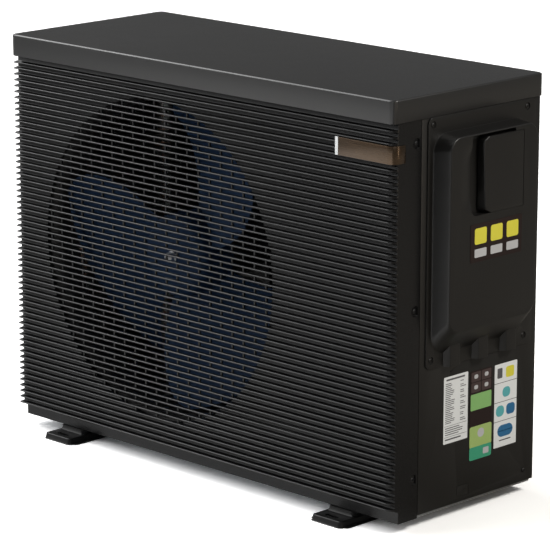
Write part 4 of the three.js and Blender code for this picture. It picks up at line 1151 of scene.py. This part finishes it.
def motor():
    """Fan motor with a round can and shallow cooling grooves."""
    y0, y1 = span("fan_motor")[2:4]
    body = eased([
        (18, y0, 0), (19, y0 + 0.5, 0), (20, 149, 0), (54, 150, 4), (60, 158, 4), (60, 209, 4), (54, y1, 4),
        (20, y1, 0),
    ], steps=4)
    piece = mesh_object("motor_can", turned("y", FAN_AXIS, [(0, y0)] + body + [(0, y1)], 64))
    grooves = Shape()
    for k in range(6):
        y = 164 + 7 * k
        grooves.add(turned("y", (FAN_X, y, FAN_Z), [(58.4, 0), (62, 0), (62, 3), (58.4, 3)], 64))
    carve(piece, grooves)
    carve(piece, rod("y", FAN_AXIS, SHAFT_HOLE, y0 - 5, 180, segments=32))
    settle(piece, "motor_paint", "fan_motor")


def motor_bracket():
    """Two upright channels with a plate for the motor and a stiffener at the top."""
    x0, x1, y0, y1, z0, z1 = span("motor_bracket")
    shape = Shape()
    for x in (x0 + 12, x1 - 12):
        outline = [(x - 12, y0 + 1.8), (x + 12, y0 + 1.8), (x + 12, y1), (x + 9.5, y1), (x + 9.5, y0 + 4.3),
                   (x - 9.5, y0 + 4.3), (x - 9.5, y1), (x - 12, y1)]
        shape.add(prism("z", outline, z0, z1))
    shape.add(slab("y", (x0 + 1, x1 - 1, FAN_Z - 60, FAN_Z + 60), 10, y0, y0 + 2.4, high_edge=0.4))
    shape.add(slab("y", (x0 + 3, x1 - 3, z1 - 24, z1 - 3), 3, y0 + 4.2, y0 + 6.6, high_edge=0.4))
    # Painted shade: the bracket takes black steel so it stays as dark as the cabinet's shaded inside behind
    # the grille.
    make("motor_rails", shape, "black_steel", "motor_bracket")


COIL = {"depth": 36, "bend": 30, "pitch": 2.3, "fin": 0.28, "tube": 4.8, "end": 15}


def coil_fins(x0, x1, y0, y1, z0, z1):
    """Thin plates along the back, round the corner and down the left side."""
    bend, pitch, end = COIL["bend"], COIL["pitch"], COIL["end"]
    outer = bend + COIL["depth"]
    half = COIL["fin"] / 2
    centre_x = x0 + outer
    centre_y = y1 - outer
    fins = Shape()
    for k in range(int((x1 - end - centre_x) / pitch)):
        x = centre_x + k * pitch
        fins.add(box(x - half, x + half, y1 - COIL["depth"], y1, z0, z1))
    for k in range(int((centre_y - y0 - end) / pitch)):
        y = centre_y - k * pitch
        fins.add(box(x0, x0 + COIL["depth"], y - half, y + half, z0, z1))
    turns = int(math.pi / 2 * outer / pitch)
    for a in quarter(turns, first=1)[:-1]:
        c, s = math.cos(a), math.sin(a)
        corners = [(bend, -half), (outer, -half), (outer, half), (bend, half)]
        outline = [(centre_x - u * c - v * s, centre_y + u * s - v * c) for u, v in corners]
        fins.add(prism("z", outline, z0, z1))
    return fins


def coil_tubes(x0, x1, y0, y1, z0, z1):
    """Two staggered rows of tubes, joined by return bends at alternate ends."""
    outer = COIL["bend"] + COIL["depth"]
    end = COIL["end"]
    rows = 26
    step = (z1 - z0) / rows
    bow = [(math.cos(a), math.sin(a)) for a in [math.pi * m / 8 - math.pi / 2 for m in range(9)]]
    reach = 8.5
    tubes = Shape()
    for inset, stagger in ((11, -step / 4), (25, step / 4)):
        radius = outer - inset
        levels = [z0 + step * (k + 0.5) + stagger for k in range(rows)]
        for z in levels:
            path = [(x1 - end + 2, y1 - inset, z)]
            for a in quarter(10)[::-1]:
                path.append((x0 + outer - radius * math.cos(a), y1 - outer + radius * math.sin(a), z))
            path.append((x0 + inset, y0 + end - 2, z))
            tubes.add(swept(path, COIL["tube"], 10))
        for k, z in enumerate(levels[:-1]):
            if k % 2 == 0:
                arc = [(x1 - end + 1 + reach * c, y1 - inset, z + step / 2 * (1 + s)) for c, s in bow]
            else:
                arc = [(x0 + inset, y0 + end - 1 - reach * c, z + step / 2 * (1 + s)) for c, s in bow]
            tubes.add(swept(arc, COIL["tube"] - 0.4, 10))
    return tubes


def coil():
    """Finned coil along the back and the left side."""
    make("coil_fins", coil_fins(*span("evaporator_coil")), "fin_aluminium", "evaporator_coil")
    make("coil_tubes", coil_tubes(*span("evaporator_coil")), "copper")


# ---------------------------------------------------------------- inside the service side


COMPRESSOR_AT = (330, 130)
ACCUMULATOR_AT = (425, 150)
LUG_ANGLES = [math.radians(a) for a in (90, 210, 330)]
VALVE_Y, VALVE_Z = 75, 450
EXPANSION_AT = (262, 300)
EXCHANGER_AT = (UNION_X, 290)
PIPE_RUNS = {
    "discharge_pipe": [(330, 130, 335.5), (330, 130, 502), (290, 75, 505), (290, 75, 475.9)],
    "suction_pipe": [(290, 75, 414.1), (290, 75, 357), (425, 150, 357), (425, 150, 269.6)],
    "gas_pipe": [(312, 75, 414.1), (312, 75, 385), (400, 170, 385), (400, 170, 535), (387, 290, 535),
                 (387, 290, 521.4)],
    "liquid_pipe": [(345, 290, 521.4), (345, 290, 545), (262, 300, 545), (262, 300, 396)],
    "coil_return_pipe": [(268, 75, 414.1), (268, 75, 395), (233, 110, 395), (233, 346, 395),
                         (225.4, 346, 395)],
}


def can(centre, bottom, top, shell, segments=64):
    """Closed pressing turned about an upright axis, with its ends at the given heights."""
    return turned("z", (*centre, 0), [(0, bottom)] + eased(shell, steps=5) + [(0, top)], segments)


def compressor():
    """Rotary compressor on a three-cornered foot plate, with its suction accumulator beside it."""
    x, y = COMPRESSOR_AT
    side_x, side_y = ACCUMULATOR_AT
    shell = [(40, 70, 0), (59, 76, 10), (59, 300, 0), (56, 320, 12), (30, 334, 16), (10, 335, 0)]
    plate = [(x + 108 * math.cos(a), y + 108 * math.sin(a), 26) for a in LUG_ANGLES]
    bottle = [(14, 92, 0), (28, 100, 9), (28, 256, 9), (14, 268, 0)]
    body = mesh_object("compressor_can", can(COMPRESSOR_AT, 70, 335, shell))
    join(
        body,
        prism("z", eased(plate, closed=True, steps=6), 66, 71),
        turned("z", (x, y, 300), [(58, -2.5), (60.2, -1), (60.2, 1), (58, 2.5)], 64),
        rod("z", (x - 24, y + 18, 0), 16, 318, 346, edge=2),
        can(ACCUMULATOR_AT, 91, 269, bottle, 48),
        box(x + 50, side_x - 18, y + 4, y + 24, 190, 210),
        pipe([(side_x, side_y, 96), (side_x, side_y, 80), (x + 50, y + 8, 80)], 8, bend=14),
    )
    settle(body, "compressor_paint", "compressor")
    outline = [
        (0, 22.3), (13, 22.3), (14, 23.5), (14, 33), (11.5, 36), (11, 43), (11.5, 47), (14, 50), (14, 64.5),
        (13, 65.7), (0, 65.7),
    ]
    for i, a in enumerate(LUG_ANGLES):
        grommet = turned("z", (x + 80 * math.cos(a), y + 80 * math.sin(a), 0), outline, 40)
        make(f"compressor_grommet_{i + 1}", grommet, "rubber", f"compressor_mount_{i + 1}")


def valves():
    """Reversing valve with its coil, and the expansion valve with its inlet bend."""
    vx0, vx1, _, _, vz0, vz1 = span("four_way_valve")
    x = (vx0 + vx1) / 2
    valve = mesh_object("reversing_valve", rod("x", (0, VALVE_Y, VALVE_Z), 12, vx0, vx1, edge=3))
    for dx in (-22, 0, 22):
        join(valve, rod("z", (x + dx, VALVE_Y, 0), 7, vz0, VALVE_Z, edge=0.6))
    join(valve, rod("z", (x, VALVE_Y, 0), 7, VALVE_Z, vz1, edge=0.6))
    for dx in (-30, 30):
        join(valve, turned("x", (290 + dx, VALVE_Y, VALVE_Z), [(11, -1), (12.9, -1), (12.9, 1), (11, 1)], 48))
    settle(valve, "valve_brass", "four_way_valve")
    x0, x1, y0, y1, z0, z1 = span("valve_solenoid")
    winding = mesh_object("solenoid_coil", slab("y", (x0 + 14, x1 - 14, z0, z1), 4, y0, y1, 1.5, 1.5))
    join(winding, rod("x", (0, (y0 + y1) / 2, VALVE_Z), 6, x0, x1, edge=0.8))
    settle(winding, "dark_plastic", "valve_solenoid")

    x, y = EXPANSION_AT
    body = mesh_object("expansion_body", rod("z", (x, y, 0), 9, 328, 395.6, edge=0.8))
    head = [(0, 350), (15, 350), (16, 351), (16, 383), (15, 384), (0, 384)]
    inlet = pipe([(x, y, 332), (x, y, 285), (240, 346, 285), (225.4, 346, 285)], 5, bend=20)
    join(body, turned("z", (x, y, 0), head, 48), inlet)
    settle(body, "valve_brass", "expansion_valve")


def pipes():
    """Copper runs between the compressor, the valves, the coil and the exchanger."""
    for node, points in PIPE_RUNS.items():
        make(f"{node}_run", pipe(points, 6, bend=20), "copper", node)


def exchanger():
    """Water tank with stiffening bands and two side stubs, and the titanium coil that hangs in it."""
    x, y = EXCHANGER_AT
    outline = eased([(50, 62, 0), (62, 62, 6), (62, 500, 6), (50, 500, 0)])
    shell = mesh_object("exchanger_tank", turned("z", (x, y, 0), [(0, 62)] + outline + [(0, 500)], 64))
    join(shell, rod("z", (x, y, 0), 40, 22.3, 63, edge=2))
    for z in UNIONS.values():
        join(shell, rod("y", (x, 0, z), 24, 335, 359.5, edge=1))
    for z in (110, 280, 450):
        join(shell, turned("z", (x, y, z), [(60, -4), (63.2, -3), (63.2, 3), (60, 4)], 64))
    carve(shell, rod("z", (x, y, 0), 57, 66, 494, segments=48))
    bores = Shape()
    for z in UNIONS.values():
        bores.add(rod("y", (x, 0, z), 20, y, 364, segments=40))
    for hole_x in (x, x + 42):
        bores.add(rod("z", (hole_x, y, 0), 7, 480, 512, segments=24))
    carve(shell, bores)
    settle(shell, "grey_pvc", "exchanger_shell")

    radius, turns, steps = 42, 5, 120
    path = [(x, y, 521), (x, y, 300), (x, y, 96)]
    for k in range(steps + 1):
        angle = 2 * math.pi * turns * k / steps
        path.append((x + radius * math.cos(angle), y + radius * math.sin(angle), 102 + 358 * k / steps))
    path.append((x + radius, y, 521))
    make("titanium_coil", swept(path, 5.5, 14), "titanium", "exchanger_coil")


def water_unions():
    """Two unions: a flanged tail with a socket for the pool's pipe, and a nut with twelve grips."""
    tail = [
        (20, 359.8), (25, 359.8), (25, 377.6), (34.5, 377.6), (35, 378.1), (35, 382.5), (34.5, 383),
        (30, 383), (30, 402), (27.5, 402), (27.5, 444.2), (27, 445), (25.7, 445), (25.2, 444.2),
        (25.2, 412), (20, 408),
    ]
    nut_outline = eased([
        (31, 386, 0), (38, 386, 0), (38.8, 386.8, 0), (38.8, 408, 0), (37, 412, 2), (37, 415, 0),
        (28.6, 415, 0), (28.6, 405, 0), (31, 403, 0),
    ], closed=True)
    grip = [(37.5, -3), (39.8, -2), (39.8, 2), (37.5, 3)]
    grips = 12
    for side, z in UNIONS.items():
        centre = (UNION_X, 0, z)
        make(f"{side}_union_body", turned("y", centre, tail, 72), "dark_plastic", f"{side}_union")
        nut = mesh_object(f"{side}_nut", turned("y", centre, nut_outline, 72))
        outlines = [turned_about(UNION_X, z, 2 * math.pi * k / grips, grip) for k in range(grips)]
        join(nut, Shape(*[prism("y", outline, 388, 407) for outline in outlines]))
        settle(nut, "dark_plastic", f"{side}_union_nut", body=f"{side}_union_nut")


def inverter_board():
    """Circuit board with three capacitors, a power module, a coil and a row of relays."""
    board = Shape(slab("z", (232, 452, 70, 290), 3, 566, 568))
    sleeve = [(0, 567.5), (14, 567.5), (14, 575), (13.3, 576), (14, 577), (14, 610), (13, 612), (0, 612)]
    for x in (270, 305, 340):
        board.add(turned("z", (x, 240, 0), sleeve, 40), 1)
    board.add(slab("z", (240, 300, 90, 150), 3, 567.5, 590, high_edge=1.5), 2)
    board.add(slab("z", (330, 372, 90, 130), 2, 567.5, 598, high_edge=1), 1)
    for k in range(8):
        y = 100 + 20 * k
        board.add(slab("z", (402, 438, y, y + 16), 1, 567.5, 582, high_edge=0.6), 2)
    looks = ["circuit_board", "black_steel", "dark_plastic"]
    make("board_assembly", board, "circuit_board", "inverter_board", looks=looks)


def terminal_block():
    """Strip of six screw terminals between thin barriers."""
    x0, x1, y0, y1, z0, z1 = span("terminal_block")
    first, pitch, count = 130, 21.4, 6
    block = Shape(slab("x", (y0, y1, z0, z1), 1.5, x0, x0 + 10, high_edge=0.8))
    for k in range(count + 1):
        y = first + k * pitch
        block.add(slab("x", (y, y + 1.6, z0, z1), 0.5, x0 + 9, x1, high_edge=0.3))
    for k in range(count):
        for z in (z0 + 8, z1 - 8):
            head = [(0, 0), (4, 0), (4, 1.6), (3.3, 2.2), (0, 2.2)]
            block.add(turned("x", (x0 + 9.5, first + (k + 0.54) * pitch, z), head, 20), 1)
    make("terminal_strip", block, "white_plastic", "terminal_block", looks=["white_plastic", "bright_steel"])


CARRIED = {
    # Painted shade: the partition takes the dark side paint so it stays as dark as the cabinet's shaded
    # inside behind the grille.
    "partition_panel": "side_paint",
    "electronics_box": "galvanised_steel",
    "heat_sink": "fin_aluminium",
}


def carried_nodes():
    """CAD nodes whose shape is already right keep it, with a small rolled edge and a finish."""
    for node, look in CARRIED.items():
        piece = frame["nodes"][node]
        piece.data.materials.clear()
        piece.data.materials.append(LOOK[look])
        modifier = piece.modifiers.new("ease", "BEVEL")
        modifier.width = 0.25 * MM
        modifier.segments = 2
        modifier.limit_method = "ANGLE"
        modifier.angle_limit = math.radians(50)


# ---------------------------------------------------------------- build

for build in (
    lid, front_panel, grille_ties, right_side_panel, left_side_panel, rear_coil_guard, rear_panel, base_pan,
    lambda: foot("foot_left"), lambda: foot("foot_right"), service_cover, controller_door, controller,
    trim_strip, warning_label, rating_plate, energy_label, safety_label, screws, fan, shroud, motor,
    motor_bracket, coil, compressor, valves, pipes, exchanger, water_unions, inverter_board, terminal_block,
    carried_nodes,
):
    build()


# ---------------------------------------------------------------- studio

scene = bpy.context.scene
scene.view_settings.view_transform = "Standard"

VIEW_AZIMUTH = math.radians(44.83)
VIEW_ELEVATION = math.radians(13.81)
VIEW_DISTANCE = 5.644
VIEW_OFFSET = Vector((-0.0156, -0.0268, -0.0328))
FOCAL = 203.92
SENSOR = 36.0
SHIFT = (0.0151, 0.0020)

FLOOR_REACH = 40
FLOOR_SEEN = (1.5, 1.5, 1.5, 1)
FLOOR_FRONT = (0.93, 0.93, 0.93, 1)
FLOOR_LEFT = (0.36, 0.36, 0.36, 1)
FLOOR_RIGHT = (0.215, 0.2, 0.178, 1)
ROOM_DIM, ROOM_BRIGHT = 0.13, 5.0
ROOM_BRIGHT_SIDE = Vector((-0.70, -0.30, 0.65)).normalized()
# name: place, aim, size, power, colour
LAMPS = {
    "warm_strip": ((3.2, 0.35, 0.5), (0.4, 0, 0.4), (0.25, 1.6), 5, (1, 0.84, 0.66)),
    "side_key": ((2.9, 0.7, 3.2), (0.4, 0.1, 0.4), (1.2, 1.2), 105, (1, 0.97, 0.92)),
    "front_fill": ((3.2, -2.2, 2.0), (0.4, 0, 0.4), (1.5, 1.5), 8, (0.95, 0.97, 1)),
    "left_softbox": ((-2.0, -0.9, 2.0), (-0.3, 0, 0.45), (0.8, 0.6), 14, (1, 1, 1)),
}


def place_object(name, data, place, direction):
    """Links a camera or lamp that looks along a direction."""
    made = bpy.data.objects.new(name, data)
    scene.collection.objects.link(made)
    made.location = place
    made.rotation_mode = "QUATERNION"
    made.rotation_quaternion = direction.to_track_quat("-Z", "Y")
    return made


def camera():
    data = bpy.data.cameras.new("camera")
    data.lens = FOCAL
    data.sensor_width = SENSOR
    data.shift_x, data.shift_y = SHIFT
    data.clip_end = 100
    flat = math.cos(VIEW_ELEVATION)
    back = Vector((math.sin(VIEW_AZIMUTH) * flat, -math.cos(VIEW_AZIMUTH) * flat, math.sin(VIEW_ELEVATION)))
    aim = (cad_low + cad_high) / 2 + VIEW_OFFSET
    scene.camera = place_object("camera", data, aim + back * VIEW_DISTANCE, -back)


def lamps():
    for name, (place, aim, size, power, colour) in LAMPS.items():
        data = bpy.data.lights.new(name, "AREA")
        data.shape = "RECTANGLE"
        data.size, data.size_y = size
        data.energy = power
        data.color = colour
        place_object(name, data, place, Vector(aim) - Vector(place))


def floor():
    """White floor whose bounce on the unit is weaker to the left, and weak and warm to the right."""
    mesh = bpy.data.meshes.new("floor")
    low, high = -FLOOR_REACH, FLOOR_REACH
    corners = [(x, y, cad_low.z) for x, y in ((low, low), (high, low), (high, high), (low, high))]
    mesh.from_pydata(corners, [], [(0, 1, 2, 3)])
    made = bpy.data.objects.new("floor", mesh)
    scene.collection.objects.link(made)
    material = bpy.data.materials.new("floor")
    material.use_nodes = True
    material.node_tree.nodes.clear()
    nodes = Nodes(material.node_tree)
    place = nodes.add("ShaderNodeTexCoord").outputs["Object"]
    towards_front = nodes.spread(nodes.along(place, (1, -0.9, 0)), 0, 1, -0.9, -0.1)
    towards_right = nodes.spread(nodes.along(place, (1, 0.5, 0)), 0, 1, 0.28, 0.5)
    tone = nodes.blend(towards_front, FLOOR_LEFT, FLOOR_FRONT)
    tone = nodes.blend(towards_right, tone, FLOOR_RIGHT)
    seen = nodes.add("ShaderNodeLightPath").outputs["Is Camera Ray"]
    tone = nodes.blend(seen, tone, FLOOR_SEEN)
    paint = nodes.add("ShaderNodeBsdfDiffuse", {"Color": tone}).outputs["BSDF"]
    nodes.add("ShaderNodeOutputMaterial", {"Surface": paint})
    mesh.materials.append(material)


def room():
    """Dim white surroundings with one soft bright side."""
    world = bpy.data.worlds.new("room")
    scene.world = world
    world.use_nodes = True
    nodes = Nodes(world.node_tree)
    background = world.node_tree.nodes["Background"]
    background.inputs["Color"].default_value = (1, 1, 1, 1)
    direction = nodes.add("ShaderNodeTexCoord").outputs["Generated"]
    level = nodes.spread(nodes.along(direction, ROOM_BRIGHT_SIDE), ROOM_DIM, ROOM_BRIGHT, 0.77, 0.98)
    world.node_tree.links.new(level, background.inputs["Strength"])


camera()
lamps()
floor()
room()
